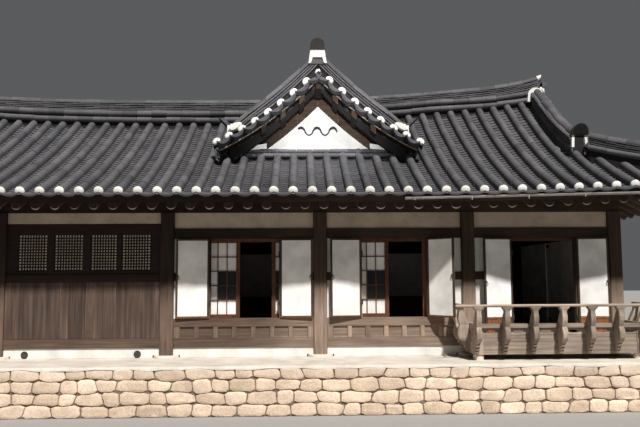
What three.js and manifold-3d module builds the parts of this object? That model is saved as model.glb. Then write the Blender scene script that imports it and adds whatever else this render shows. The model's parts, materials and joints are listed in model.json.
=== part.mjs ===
// A long one-storey hanok house under a hip-and-gable tiled roof, with a cross gable over its front.
// Millimetres, +X along the front to the right, +Y to the rear, +Z up.
// The origin lies under the cross gable's axis, on the flat bottom of the stone podium.
import * as THREE from 'three';
import { mergeVertices } from 'three/addons/utils/BufferGeometryUtils.js';
import Module from 'manifold-3d';

const wasm = await Module();
wasm.setup();

// Clearance that touching pieces keep
const GAP = 0.3;

// Plan: column lines along the front, and the depth between the front and rear column lines
const BAY_D = 2555;
const BAY_C = 2535;
const BAY_B = 2590;
const PLANK_BAY = 2810;
const PLANK_BAYS = 3;
const DEPTH = 5120;
const COLUMN = 230;
const COLUMN_LINES = [BAY_C + BAY_D, BAY_C, 0, -BAY_B];
for (let bay = 1; bay <= PLANK_BAYS; bay += 1) {
  COLUMN_LINES.push(-BAY_B - bay * PLANK_BAY);
}
const RIGHT_X = COLUMN_LINES[0];
const LEFT_X = COLUMN_LINES[COLUMN_LINES.length - 1];
const MIDDLE_X = (LEFT_X + RIGHT_X) / 2;
const MIDDLE_Y = DEPTH / 2;

// Heights above the podium's top
const PODIUM_HEIGHT = 750;
const PODIUM_REACH = 1270;
const BASE_STONE = 460;
const BASE_STONE_HEIGHT = 40;
// How far stones and boards reach into what they are bedded in
const BEDDING = 10;
const PLINTH_TOP = 162;
const FLOOR_TOP = 360;
const SILL_BEAM_TOP = 320;
const PANEL_TOP = 510;
const THRESHOLD_TOP = 643;
const DOOR_TOP = 1990;
const LINTEL_TOP = 2164;
const WALL_TOP = 2435;

// Wall thicknesses, measured either side of the column line
const WALL_HALF = 50;
const BEAM_HALF = 70;
const PANEL_HALF = 40;
// How far the cutters of windows and doors reach either side of the column line
const CUT_REACH = 200;

// Plank bays: the window row between its sill beam and the band of plaster
const PLANK_TOP = 1264;
const WINDOW_SILL_TOP = 1390;
const WINDOW_BOTTOM = 1450;
const WINDOW_TOP = 2080;
const PLASTER_BAND_BOTTOM = 2250;
const WINDOW_SPANS = [[-1109, -607], [-508, -8], [105, 560], [626, 1128]];
const SHEET_THICKNESS = 12;

// Doorways and their two leaves, with the angle to which each leaf stands open
const DOORWAYS = [
  { name: 'bay_b', column: 3, centre: -1281, width: 1160, bottom: THRESHOLD_TOP, open: [177, 177] },
  { name: 'bay_c', column: 2, centre: 1269, width: 1110, bottom: THRESHOLD_TOP, open: [172, 134] },
  { name: 'bay_d', column: 1, centre: 3850, width: 1100, bottom: FLOOR_TOP, open: [166, 172] },
];
const LEAF_THICKNESS = 30;
const LEAF_MEETING_GAP = 12;
const LEAF_END_GAP = 8;
const HINGE_OFFSET = 26;
const HINGE_SETBACK = 18;
const KNUCKLE_RADIUS = 11;
const KNUCKLE_HEIGHT = 45;
const SLIDING_WIDTH = 600;
const SLIDING_THICKNESS = 30;
const SLIDING_PLANE = 73;
const TRACK_DEPTH = 100;
// How far each sliding leaf's meeting edge stands from the doorway's centre at rest
const SLIDING_REST = { bay_b: [92, 450], bay_c: [84, 500] };

// Roof: eaves, curves and the places of its gables
const OVERHANG = 1210;
const EAVE_HEIGHT = 2700;
const HALF_LENGTH = (RIGHT_X - LEFT_X) / 2 + OVERHANG;
const HALF_DEPTH = MIDDLE_Y + OVERHANG;
const SLOPE_AT_EAVE = 0.395;
const SLOPE_GROWTH = 0.0000295;
const CORNER_RISE = 200;
const CORNER_REACH = 6000;
const RIDGE_RISE = 570;
const RIDGE_HALF = 7720;
const RIDGE_CURVE = 2.4;
const TILE_TOP = 40;
const TILE_BOTTOM = -110;
const EARTH_BOTTOM = -240;
const EARTH_OVERLAP = 8;
const EARTH_INSET = 115;
const VERGE_INSET = 1230;
const DESCENT_INSET = 1500;
const SIDE_GABLE_INSET = 1880;

// Rows of round cover tiles on the long slopes, and the level of the tiles between them
const TROUGH_TOP = -60;
const ROW_PITCH = 300;
const ROW_START = 150;
const ROW_FOOT_HALF = 77;
const ROW_CREST_HALF = 42;
const ROW_TOP = TILE_TOP - 3;
const ROW_SINK = 15;
const ROW_HIP_CLEARANCE = 90;

// Rafters
const RAFTER_RADIUS = 80;
const RAFTER_PITCH = 300;
const RAFTER_END = 160;
const RAFTER_INNER = 1225;
const RAFTER_SINK = 12;
const RAFTER_SIDES = 6;
const PLATE_HALF = 60;

// Cross gable over the front
const GABLE_VERGE = 300;
const GABLE_WALL = 870;
const GABLE_HALF = 1840;
const GABLE_APEX_BACK = 4800;
const GABLE_APEX_RISE = 210;
const GABLE_SLOPE = 0.995;
const GABLE_CURVE = 0.000148;
const GABLE_SOFFIT = -130;
const GABLE_DESCENT_FRONT = 490;
const GABLE_VERGE_RISE = 85;
const GABLE_WALL_THICKNESS = 100;
const GABLE_WALL_HALF = 1380;

// Bargeboards on the gable walls, and the outlookers that reach from them to the verges
const BARGEBOARD_THICKNESS = 40;
const BARGEBOARD_DEPTH = 270;
const OUTLOOKER_WIDTH = 90;
const OUTLOOKER_HEIGHT = 150;
const OUTLOOKER_INSET = 30;
const GABLE_OUTLOOKERS = [0, 300, 640, 980];
const SIDE_OUTLOOKERS = [0, 360, 720, 1080];
// Heights between which the gable walls are drawn before the roofs trim them
const FRONT_WALL_SPAN = [3000, 5000];
const SIDE_WALL_SPAN = [3300, 5200];
const SIDE_WALL_REACH = 1700;
const SIDE_BOARD_REACH = 1600;

// Ridges of stacked tiles
const MAIN_RIDGE_WIDTH = 300;
const MAIN_RIDGE_HEIGHT = 430;
const GABLE_RIDGE_WIDTH = 280;
const GABLE_RIDGE_HEIGHT = 400;
const GABLE_DESCENT_HEIGHT = 440;
const GABLE_DESCENT_WIDTH = 200;
const SIDE_RIDGE_WIDTH = 260;
const SIDE_RIDGE_HEIGHT = 300;
const HIP_RIDGE_HEIGHT = 260;
const HIP_TIP_RISE = 90;

// Upright end tiles with round heads, on the ends of the ridges
const END_TILE_HALF = 130;
const END_TILE_THICKNESS = 90;
const END_TILE_HEAD = 140;
const FINIAL_HALF = 150;
const FINIAL_LOW = 5100;
const FINIAL_TOP = 5668;
const DESCENT_TILE_RISE = 550;
const HIP_TILE_RISE = 440;
const RIDGE_TILE_RISE = 520;

// Balcony in front of bay D
const BALCONY_LEFT = BAY_C - COLUMN / 2;
const BALCONY_RIGHT = RIGHT_X + COLUMN / 2;
const BALCONY_FRONT = -800;
const DECK_TOP = 350;
const FASCIA_TOP = 396;
const DECK_THICKNESS = 45;
const FASCIA_BOTTOM = 85;
const FASCIA_THICKNESS = 40;
const BALCONY_FOOT = 180;
const LOWER_RAIL_BOTTOM = 495;
const LOWER_RAIL_TOP = 575;
const LOWER_RAIL_REACH = 60;
const LOWER_RAIL_RETURN = 55;
const TOP_RAIL_HEIGHT = 880;
const TOP_RAIL_RADIUS = 32;
const TOP_RAIL_FRONT = -1010;
const TOP_RAIL_OVERRUN = 330;
const SIDE_RAIL_REACH = 165;
const BALUSTER_THICKNESS = 70;
const BALUSTERS = 7;
const SIDE_BALUSTERS = [-500, -210];

const COLOURS = {
  stone: '#d9c7ae',
  plaster: '#e7e2d8',
  timber: '#7b6455',
  orangeTimber: '#a9673c',
  paleTimber: '#b0a192',
  paper: '#ece9e2',
  tile: '#56555a',
};

function material(colour, roughness = 0.85) {
  return new THREE.MeshStandardMaterial({ color: colour, roughness, metalness: 0 });
}

const MATERIALS = Object.fromEntries(
  Object.entries(COLOURS).map(([name, colour]) => [name, material(colour)]),
);

const house = new THREE.Group();
house.position.z = PODIUM_HEIGHT;

function addPiece(name, geometry, materialName) {
  const mesh = new THREE.Mesh(geometry, MATERIALS[materialName]);
  mesh.name = name;
  house.add(mesh);
  return mesh;
}

// Solids and booleans

function toSolid(geometry) {
  const plain = geometry.clone();
  plain.deleteAttribute('normal');
  plain.deleteAttribute('uv');
  const merged = mergeVertices(plain, 1e-3);
  const mesh = new wasm.Mesh({
    numProp: 3,
    vertProperties: new Float32Array(merged.attributes.position.array),
    triVerts: new Uint32Array(merged.index.array),
  });
  return new wasm.Manifold(mesh);
}

function toGeometry(solid) {
  const mesh = solid.getMesh();
  const geometry = new THREE.BufferGeometry();
  geometry.setAttribute('position', new THREE.BufferAttribute(new Float32Array(mesh.vertProperties), 3));
  geometry.setIndex(new THREE.BufferAttribute(new Uint32Array(mesh.triVerts), 1));
  return geometry;
}

function join(geometries) {
  return toGeometry(geometries.map(toSolid).reduce((sum, next) => sum.add(next)));
}

function cut(geometry, cutters) {
  return toGeometry(cutters.map(toSolid).reduce((rest, next) => rest.subtract(next), toSolid(geometry)));
}

function box(x0, x1, y0, y1, z0, z1) {
  const geometry = new THREE.BoxGeometry(x1 - x0, y1 - y0, z1 - z0);
  return geometry.translate((x0 + x1) / 2, (y0 + y1) / 2, (z0 + z1) / 2);
}

// A closed solid between two grids of points: top(u, v) over bottom(u, v), for u and v from lists of stations
function gridSolid(us, vs, top, bottom) {
  const positions = [];
  const width = vs.length;
  for (const surface of [top, bottom]) {
    for (const u of us) {
      for (const v of vs) {
        positions.push(...surface(u, v));
      }
    }
  }
  const layer = us.length * width;
  const index = [];
  const quad = (a, b, c, d) => index.push(a, b, c, a, c, d);
  for (let i = 0; i < us.length - 1; i += 1) {
    for (let j = 0; j < width - 1; j += 1) {
      const a = i * width + j;
      const b = a + width;
      quad(a, b, b + 1, a + 1);
      quad(layer + a, layer + a + 1, layer + b + 1, layer + b);
    }
  }
  for (let i = 0; i < us.length - 1; i += 1) {
    const near = i * width;
    const far = near + width - 1;
    quad(near, layer + near, layer + near + width, near + width);
    quad(far, far + width, layer + far + width, layer + far);
  }
  for (let j = 0; j < width - 1; j += 1) {
    const last = (us.length - 1) * width + j;
    quad(j, j + 1, layer + j + 1, layer + j);
    quad(last, layer + last, layer + last + 1, last + 1);
  }
  if (signedVolume(positions, index) < 0) {
    index.reverse();
  }
  const geometry = new THREE.BufferGeometry();
  geometry.setAttribute('position', new THREE.BufferAttribute(new Float32Array(positions), 3));
  geometry.setIndex(index);
  return geometry;
}

function signedVolume(positions, index) {
  const corner = (k) => new THREE.Vector3().fromArray(positions, index[k] * 3);
  let volume = 0;
  for (let k = 0; k < index.length; k += 3) {
    volume += corner(k).dot(corner(k + 1).cross(corner(k + 2))) / 6;
  }
  return volume;
}

function stations(from, to, count) {
  return Array.from({ length: count + 1 }, (_, k) => from + ((to - from) * k) / count);
}

// A board or beam of constant section along X: the outline lists points (y, z)
function beamAlongX(x0, x1, outline) {
  const shape = new THREE.Shape(outline.map(([y, z]) => new THREE.Vector2(y, z)));
  const geometry = new THREE.ExtrudeGeometry(shape, { depth: x1 - x0, bevelEnabled: false });
  const place = new THREE.Matrix4().makeBasis(
    new THREE.Vector3(0, 1, 0),
    new THREE.Vector3(0, 0, 1),
    new THREE.Vector3(1, 0, 0),
  );
  return geometry.applyMatrix4(place).translate(x0, 0, 0);
}

// A round log with a flat facet uppermost
function log(from, to, radius, sides) {
  const direction = new THREE.Vector3().subVectors(to, from);
  const length = direction.length();
  const geometry = new THREE.CylinderGeometry(radius, radius, length, sides, 1, false, Math.PI / sides);
  const along = direction.clone().normalize();
  const level = new THREE.Vector3().crossVectors(along, new THREE.Vector3(0, 0, 1)).normalize();
  const upper = new THREE.Vector3().crossVectors(level, along);
  const middle = new THREE.Vector3().addVectors(from, to).multiplyScalar(0.5);
  const place = new THREE.Matrix4().makeBasis(level, along, upper);
  return geometry.applyMatrix4(place).translate(middle.x, middle.y, middle.z);
}

// Roof surface: height over a point that lies `back` behind its own eave, `along` from the eave's nearest
// corner, and `end` from the nearest end eave

function eaveLift(along) {
  return CORNER_RISE * Math.max(0, 1 - along / CORNER_REACH) ** 3;
}

function ridgeLift(end) {
  return RIDGE_RISE * (Math.max(0, HALF_LENGTH - end) / RIDGE_HALF) ** RIDGE_CURVE;
}

function slopeHeight(back, along, end) {
  const share = (back / HALF_DEPTH) ** 2;
  const profile = SLOPE_AT_EAVE * back + SLOPE_GROWTH * back * back;
  return EAVE_HEIGHT + profile + eaveLift(along) * (1 - share) + ridgeLift(end) * share;
}

// Long slopes: side is -1 for the front and 1 for the rear
function longSlopeY(side, back) {
  return MIDDLE_Y + side * (HALF_DEPTH - back);
}

function longSlopeHeight(x, back) {
  const end = HALF_LENGTH - Math.abs(x - MIDDLE_X);
  return slopeHeight(back, end, end);
}

// End slopes: side is -1 for the left and 1 for the right
function endSlopeX(side, back) {
  return MIDDLE_X + side * (HALF_LENGTH - back);
}

function endSlopeHeight(y, back) {
  return slopeHeight(back, HALF_DEPTH - Math.abs(y - MIDDLE_Y), back);
}

const ALONG_STATIONS = 26;
const TILE_BACKS = [0, VERGE_INSET, 2480];
const EARTH_BACKS = [EARTH_INSET, VERGE_INSET, 2480];
// Cutters run this far past the joints between slopes, and reach this far up or down
const CUTTER_LAP = -0.4;
const CUTTER_REACH = 2600;

// One layer of a long slope, between two heights measured from the tiles' middle, with a gap along its joints
function longLayer(side, backs, inset, low, high, gap = GAP) {
  const reach = (back) => HALF_LENGTH - Math.min(back + gap, VERGE_INSET + inset);
  const point = (offset) => (u, back) => {
    const x = MIDDLE_X + u * reach(back);
    return [x, longSlopeY(side, back), longSlopeHeight(x, back) + offset];
  };
  const allBacks = [...backs, HALF_DEPTH - gap / 2];
  return gridSolid(stations(-1, 1, ALONG_STATIONS), allBacks, point(high), point(low));
}

const END_BACKS = [0, 620, VERGE_INSET, SIDE_GABLE_INSET + GABLE_WALL_THICKNESS + 10];
const END_STATIONS = 10;

function endLayer(side, backs, low, high, gap = GAP) {
  const point = (offset) => (u, back) => {
    const y = MIDDLE_Y + u * (HALF_DEPTH - back - gap);
    return [endSlopeX(side, back), y, endSlopeHeight(y, back) + offset];
  };
  return gridSolid(stations(-1, 1, END_STATIONS), backs, point(high), point(low));
}

// Everything below a slope's tiles, for trimming what stands on them
function belowLongSlope(side) {
  return longLayer(side, TILE_BACKS, 0, -CUTTER_REACH, TILE_TOP + GAP, CUTTER_LAP);
}

function belowEndSlope(side, backs = END_BACKS) {
  return endLayer(side, backs, -CUTTER_REACH, TILE_TOP + GAP, CUTTER_LAP);
}

// Everything above the undersides of a long slope's two layers, for trimming what stands beneath them
function aboveLongSlope(side) {
  return [
    longLayer(side, TILE_BACKS, 0, TILE_BOTTOM - GAP, CUTTER_REACH, CUTTER_LAP),
    longLayer(side, EARTH_BACKS, EARTH_INSET, EARTH_BOTTOM - GAP, CUTTER_REACH, CUTTER_LAP),
  ];
}

// One row of cover tiles on a long slope, from the eave up to the ridge or the hip
function tileRow(side, x, gap) {
  const end = HALF_LENGTH - Math.abs(x - MIDDLE_X);
  const last = end < DESCENT_INSET ? end - ROW_HIP_CLEARANCE : HALF_DEPTH - GAP / 2;
  const backs = [...TILE_BACKS.filter((back) => back < last - ROW_CREST_HALF), last];
  const foot = ROW_FOOT_HALF + gap;
  const halves = { '-2': -foot, '-1': -ROW_CREST_HALF, 1: ROW_CREST_HALF, 2: foot };
  const point = (back, step, rise) => {
    const place = x + halves[step];
    return [place, longSlopeY(side, back), longSlopeHeight(place, back) + rise];
  };
  return gridSolid(
    backs,
    [-2, -1, 1, 2],
    (back, step) => point(back, step, Math.abs(step) === 2 ? TROUGH_TOP - ROW_SINK : ROW_TOP + gap),
    (back, step) => point(back, step, TROUGH_TOP - ROW_SINK - 10),
  );
}

function tileRows(side, from, to, gap = 0) {
  const rows = [];
  const descent = HALF_LENGTH - DESCENT_INSET;
  for (let x = ROW_START + ROW_PITCH * Math.ceil((from - ROW_START) / ROW_PITCH); x <= to; x += ROW_PITCH) {
    // The row that the descending ridge covers is left out
    if (Math.abs(Math.abs(x - MIDDLE_X) - descent) > ROW_PITCH / 3) {
      rows.push(tileRow(side, x, gap));
    }
  }
  return rows;
}

// Everything below the front slope's tiles and cover rows, under the cross gable
function belowGable() {
  const troughs = longLayer(-1, TILE_BACKS, 0, -CUTTER_REACH, TROUGH_TOP + GAP, CUTTER_LAP);
  return [troughs, ...tileRows(-1, -GABLE_HALF - ROW_PITCH, GABLE_HALF + ROW_PITCH, GAP)];
}

// Rafters, straight logs under the earth layer
const RAFTER_FACET = RAFTER_RADIUS * Math.cos(Math.PI / RAFTER_SIDES);
const RAFTER_DROP = EARTH_BOTTOM + RAFTER_SINK - RAFTER_FACET;

// Lets the level undersides clear the plates, which rise towards the corners
const SEAT_CLEARANCE = 3.2;

// The straight line that a rafter's axis follows under a curved slope
function rafterSlope(heightAt) {
  return (heightAt(RAFTER_INNER) - heightAt(RAFTER_END)) / (RAFTER_INNER - RAFTER_END);
}

function rafterAxis(heightAt, back) {
  return heightAt(RAFTER_END) + rafterSlope(heightAt) * (back - RAFTER_END) + RAFTER_DROP;
}

function rafter(inner, pointAt) {
  const ends = [RAFTER_END, inner].map((back) => new THREE.Vector3(...pointAt(back)));
  return log(ends[0], ends[1], RAFTER_RADIUS, RAFTER_SIDES);
}

// Height of the rafters' undersides at a distance behind the eave, where the plates carry them
function rafterSeat(heightAt, back) {
  return rafterAxis(heightAt, back) - RAFTER_FACET * Math.hypot(1, rafterSlope(heightAt)) - SEAT_CLEARANCE;
}

const HIP_CLEARANCE = 230;

function rafterStations(half) {
  const count = Math.floor((half - 500) / RAFTER_PITCH);
  return stations(-count * RAFTER_PITCH, count * RAFTER_PITCH, 2 * count);
}

function longRafters(side) {
  return rafterStations(HALF_LENGTH).map((offset) => {
    const x = MIDDLE_X + offset;
    const inner = Math.min(RAFTER_INNER, HALF_LENGTH - Math.abs(offset) - HIP_CLEARANCE);
    const heightAt = (back) => longSlopeHeight(x, back);
    return rafter(inner, (back) => [x, longSlopeY(side, back), rafterAxis(heightAt, back)]);
  });
}

function endRafters(side) {
  return rafterStations(HALF_DEPTH).map((offset) => {
    const y = MIDDLE_Y + offset;
    const inner = Math.min(RAFTER_INNER, HALF_DEPTH - Math.abs(offset) - HIP_CLEARANCE);
    const heightAt = (back) => endSlopeHeight(y, back);
    return rafter(inner, (back) => [endSlopeX(side, back), y, rafterAxis(heightAt, back)]);
  });
}

const PLATE_REACH = COLUMN / 2;

// A wall plate along a long wall, its top rising with the rafters towards the corners
function longPlate(side, low) {
  const wallY = MIDDLE_Y + side * MIDDLE_Y;
  const ends = (RIGHT_X - LEFT_X) / 2 + PLATE_REACH;
  const seat = (x, y) => rafterSeat((back) => longSlopeHeight(x, back), HALF_DEPTH - Math.abs(y - MIDDLE_Y));
  return gridSolid(
    stations(MIDDLE_X - ends, MIDDLE_X + ends, 2 * ALONG_STATIONS),
    [wallY - PLATE_HALF, wallY + PLATE_HALF],
    (x, y) => [x, y, seat(x, y)],
    (x, y) => [x, y, low],
  );
}

function endPlate(side) {
  const wallX = side < 0 ? LEFT_X : RIGHT_X;
  const reach = MIDDLE_Y - PLATE_HALF - GAP;
  const seat = (x, y) => rafterSeat((back) => endSlopeHeight(y, back), HALF_LENGTH - Math.abs(x - MIDDLE_X));
  return gridSolid(
    stations(MIDDLE_Y - reach, MIDDLE_Y + reach, END_STATIONS),
    [wallX - PLATE_HALF, wallX + PLATE_HALF],
    (y, x) => [x, y, seat(x, y)],
    (y, x) => [x, y, WALL_TOP + GAP],
  );
}

// Podium, plinth and floor

function columnSquares(half, low, high) {
  const squares = [];
  for (const x of COLUMN_LINES) {
    for (const y of [0, DEPTH]) {
      squares.push(box(x - half, x + half, y - half, y + half, low, high));
    }
  }
  for (const x of [LEFT_X, RIGHT_X]) {
    squares.push(box(x - half, x + half, MIDDLE_Y - half, MIDDLE_Y + half, low, high));
  }
  return squares;
}

function addPodium() {
  const reach = PODIUM_REACH;
  const slab = box(LEFT_X - reach, RIGHT_X + reach, -reach, DEPTH + reach, -PODIUM_HEIGHT, 0);
  const feet = [BALCONY_LEFT, BALCONY_RIGHT - BALCONY_FOOT].map((x) => (
    box(x, x + BALCONY_FOOT, BALCONY_FRONT, BALCONY_FRONT + BALCONY_FOOT, -BEDDING, FASCIA_BOTTOM - GAP)
  ));
  const stones = columnSquares(BASE_STONE / 2, -BEDDING, BASE_STONE_HEIGHT);
  addPiece('podium', join([slab, ...stones, ...feet]), 'stone');
}

function addPlinthAndFloor() {
  const half = WALL_HALF;
  const block = box(LEFT_X - half, RIGHT_X + half, -half, DEPTH + half, GAP, PLINTH_TOP);
  const stones = columnSquares(BASE_STONE / 2 + GAP, -1, BASE_STONE_HEIGHT + GAP);
  const shafts = columnSquares(COLUMN / 2 + GAP, 0, PLINTH_TOP + 1);
  addPiece('plinth', cut(block, [...stones, ...shafts]), 'plaster');
  const inset = COLUMN / 2 + GAP;
  addPiece('floor', box(
    LEFT_X + inset,
    RIGHT_X - inset,
    inset,
    DEPTH - inset,
    PLINTH_TOP + GAP,
    FLOOR_TOP,
  ), 'timber');
}

// Front wall

function addFrontColumns() {
  const half = COLUMN / 2;
  COLUMN_LINES.forEach((x, k) => {
    const post = box(x - half, x + half, -half, half, BASE_STONE_HEIGHT + GAP, WALL_TOP);
    addPiece(`front_column_${k + 1}`, post, 'timber');
  });
  addPiece('front_plate', longPlate(-1, WALL_TOP + GAP), 'timber');
}

// The clear span of a front bay, between the faces of its columns
function bayFaces(column) {
  return [COLUMN_LINES[column] + COLUMN / 2 + GAP, COLUMN_LINES[column - 1] - COLUMN / 2 - GAP];
}

// Stacked bands of a wall, each (half thickness, low, high), as one outline along X
function bandOutline(bands, innerFace) {
  const outer = bands.flatMap(([half, low, high]) => [[-half, low], [-half, high]]);
  return [...outer, [innerFace, bands[bands.length - 1][2]], [innerFace, bands[0][1]]];
}

function addPlankBays() {
  for (let bay = 1; bay <= PLANK_BAYS; bay += 1) {
    const [x0, x1] = bayFaces(3 + bay);
    const centre = (x0 + x1) / 2;
    const bands = [
      [BEAM_HALF, PLINTH_TOP + GAP, SILL_BEAM_TOP],
      [WALL_HALF, SILL_BEAM_TOP, PLANK_TOP],
      [BEAM_HALF, PLANK_TOP, WINDOW_SILL_TOP],
      [WALL_HALF, WINDOW_SILL_TOP, PLASTER_BAND_BOTTOM],
      [PANEL_HALF, PLASTER_BAND_BOTTOM, WALL_TOP],
    ];
    const wall = beamAlongX(x0, x1, bandOutline(bands, WALL_HALF));
    const windows = WINDOW_SPANS.map(([left, right]) => (
      box(centre + left, centre + right, -CUT_REACH, CUT_REACH, WINDOW_BOTTOM, WINDOW_TOP)
    ));
    addPiece(`plank_wall_${bay}`, cut(wall, windows), 'timber');
  }
  const margin = 40;
  addPiece('front_window_sheet', box(
    LEFT_X + COLUMN / 2 + margin,
    -BAY_B - COLUMN / 2 - margin,
    COLUMN / 2 + GAP,
    COLUMN / 2 + GAP + SHEET_THICKNESS,
    WINDOW_BOTTOM - margin,
    WINDOW_TOP + margin,
  ), 'paper');
}

function hingeHeights(bottom) {
  return [bottom + 220, DOOR_TOP - 220 - 2 * KNUCKLE_HEIGHT];
}

const HINGE_Y = -WALL_HALF - HINGE_OFFSET;

// The vertical barrel of a hinge knuckle
function knuckle(x, y, z) {
  const height = KNUCKLE_HEIGHT - GAP;
  const barrel = new THREE.CylinderGeometry(KNUCKLE_RADIUS, KNUCKLE_RADIUS, height, 8);
  return barrel.rotateX(Math.PI / 2).translate(x, y, z + height / 2);
}

// The knuckles fixed beside a doorway, each with an arm back to the wall
function wallKnuckles(x, bottom) {
  return hingeHeights(bottom).flatMap((z) => [
    knuckle(x, HINGE_Y, z),
    box(x - 7, x + 7, HINGE_Y, -WALL_HALF + 5, z, z + KNUCKLE_HEIGHT - GAP),
  ]);
}

function addDoorBay({ name, column, centre, width, bottom }) {
  const [x0, x1] = bayFaces(column);
  const doorLeft = centre - width / 2;
  const doorRight = centre + width / 2;
  const inner = bottom === FLOOR_TOP ? WALL_HALF : TRACK_DEPTH;
  const sillBands = [[BEAM_HALF, PLINTH_TOP + GAP, Math.min(bottom, SILL_BEAM_TOP)]];
  if (bottom > PANEL_TOP) {
    sillBands.push([PANEL_HALF, SILL_BEAM_TOP, PANEL_TOP], [BEAM_HALF, PANEL_TOP, THRESHOLD_TOP]);
  } else {
    sillBands[0][2] = bottom;
  }
  addPiece(`${name}_sill`, beamAlongX(x0, x1, bandOutline(sillBands, inner)), 'timber');
  const headBands = [[BEAM_HALF, DOOR_TOP, LINTEL_TOP], [PANEL_HALF, LINTEL_TOP, WALL_TOP]];
  addPiece(`${name}_head`, beamAlongX(x0, x1, bandOutline(headBands, inner)), 'timber');
  const strips = [['left', x0, doorLeft, doorLeft], ['right', doorRight, x1, doorRight]];
  for (const [side, from, to, hinge] of strips) {
    const strip = box(from, to, -WALL_HALF, WALL_HALF, bottom + GAP, DOOR_TOP - GAP);
    addPiece(`${name}_${side}_wall`, join([strip, ...wallKnuckles(hinge, bottom)]), 'plaster');
  }
}

// A casement leaf swung open from across the doorway by openAngle; side is -1 for the left leaf
function addLeaf(name, side, { centre, width, bottom }, openAngle) {
  const near = HINGE_SETBACK;
  const far = width / 2 - LEAF_MEETING_GAP / 2;
  const half = LEAF_THICKNESS / 2;
  const panel = box(near, far, -half, half, bottom + LEAF_END_GAP, DOOR_TOP - LEAF_END_GAP);
  const knuckles = hingeHeights(bottom).flatMap((z) => {
    const low = z + KNUCKLE_HEIGHT;
    return [knuckle(0, 0, low), box(0, near + 5, -6, 6, low, low + KNUCKLE_HEIGHT - GAP)];
  });
  const leaf = addPiece(name, join([panel, ...knuckles]), 'paper');
  const closed = side < 0 ? 0 : Math.PI;
  leaf.position.set(centre + (side * width) / 2, HINGE_Y, 0);
  leaf.rotation.z = closed + side * THREE.MathUtils.degToRad(openAngle);
}

function addSlidingLeaf(name, from, bottom) {
  const half = SLIDING_THICKNESS / 2;
  addPiece(name, box(
    from,
    from + SLIDING_WIDTH,
    SLIDING_PLANE - half,
    SLIDING_PLANE + half,
    bottom + GAP,
    DOOR_TOP - LEAF_END_GAP,
  ), 'orangeTimber');
}

function addDoors(doorway) {
  const { name, centre, bottom, open } = doorway;
  addLeaf(`${name}_left_leaf`, -1, doorway, open[0]);
  addLeaf(`${name}_right_leaf`, 1, doorway, open[1]);
  if (name in SLIDING_REST) {
    const [left, right] = SLIDING_REST[name];
    addSlidingLeaf(`${name}_left_sliding_door`, centre - left - SLIDING_WIDTH, bottom);
    addSlidingLeaf(`${name}_right_sliding_door`, centre + right, bottom);
  }
}

// Rear and end walls, each one piece with its columns and plate

const REAR_WINDOW = { width: 1000, low: 900, high: 1850 };
// The right end wall's door, whose sheet stands a little way open beside the middle post
const END_DOOR = { from: 2800, to: 4400, low: FLOOR_TOP + 20, high: DOOR_TOP };
const END_WINDOW = { centre: 1280, width: 1100 };
const END_DOOR_GAP = [2747, 2956];

function addRearWall() {
  const half = COLUMN / 2;
  const slab = box(LEFT_X, RIGHT_X, DEPTH - WALL_HALF, DEPTH + WALL_HALF, PLINTH_TOP + GAP, WALL_TOP);
  const columns = COLUMN_LINES.map((x) => (
    box(x - half, x + half, DEPTH - half, DEPTH + half, BASE_STONE_HEIGHT + GAP, WALL_TOP)
  ));
  const windows = [];
  for (let k = 1; k < COLUMN_LINES.length; k += 1) {
    const centre = (COLUMN_LINES[k] + COLUMN_LINES[k - 1]) / 2;
    const reach = REAR_WINDOW.width / 2;
    const depth = [DEPTH - CUT_REACH, DEPTH + CUT_REACH];
    windows.push(box(centre - reach, centre + reach, ...depth, REAR_WINDOW.low, REAR_WINDOW.high));
  }
  addPiece('rear_wall', cut(join([slab, ...columns, longPlate(1, WALL_TOP - 2)]), windows), 'timber');
  addPiece('rear_window_sheet', box(
    LEFT_X + 400,
    RIGHT_X - 400,
    DEPTH - half - GAP - SHEET_THICKNESS,
    DEPTH - half - GAP,
    REAR_WINDOW.low - 40,
    REAR_WINDOW.high + 40,
  ), 'paper');
}

function addEndWall(name, side) {
  const wallX = side < 0 ? LEFT_X : RIGHT_X;
  const half = COLUMN / 2;
  const reach = half + GAP;
  const top = WALL_TOP + 2;
  const slab = box(wallX - WALL_HALF, wallX + WALL_HALF, reach, DEPTH - reach, PLINTH_TOP + GAP, top);
  const postY = [MIDDLE_Y - half, MIDDLE_Y + half];
  const post = box(wallX - half, wallX + half, ...postY, BASE_STONE_HEIGHT + GAP, top);
  const { centre, width } = END_WINDOW;
  const openings = [
    [centre - width / 2, centre + width / 2, REAR_WINDOW.low, REAR_WINDOW.high],
    [END_DOOR.from, END_DOOR.to, END_DOOR.low, END_DOOR.high],
  ].map((opening) => box(wallX - CUT_REACH, wallX + CUT_REACH, ...opening));
  addPiece(name, cut(join([slab, post, endPlate(side)]), openings), 'timber');
  const inner = wallX - side * (half + GAP);
  const outer = inner - side * SHEET_THICKNESS;
  const sheet = box(
    Math.min(inner, outer),
    Math.max(inner, outer),
    500,
    DEPTH - 500,
    FLOOR_TOP + GAP,
    END_DOOR.high + 40,
  );
  const gap = box(wallX - CUT_REACH, wallX + CUT_REACH, ...END_DOOR_GAP, 0, END_DOOR.high);
  addPiece(`${name}_door_sheet`, side < 0 ? sheet : cut(sheet, [gap]), 'paper');
}

// Roof pieces

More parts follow.
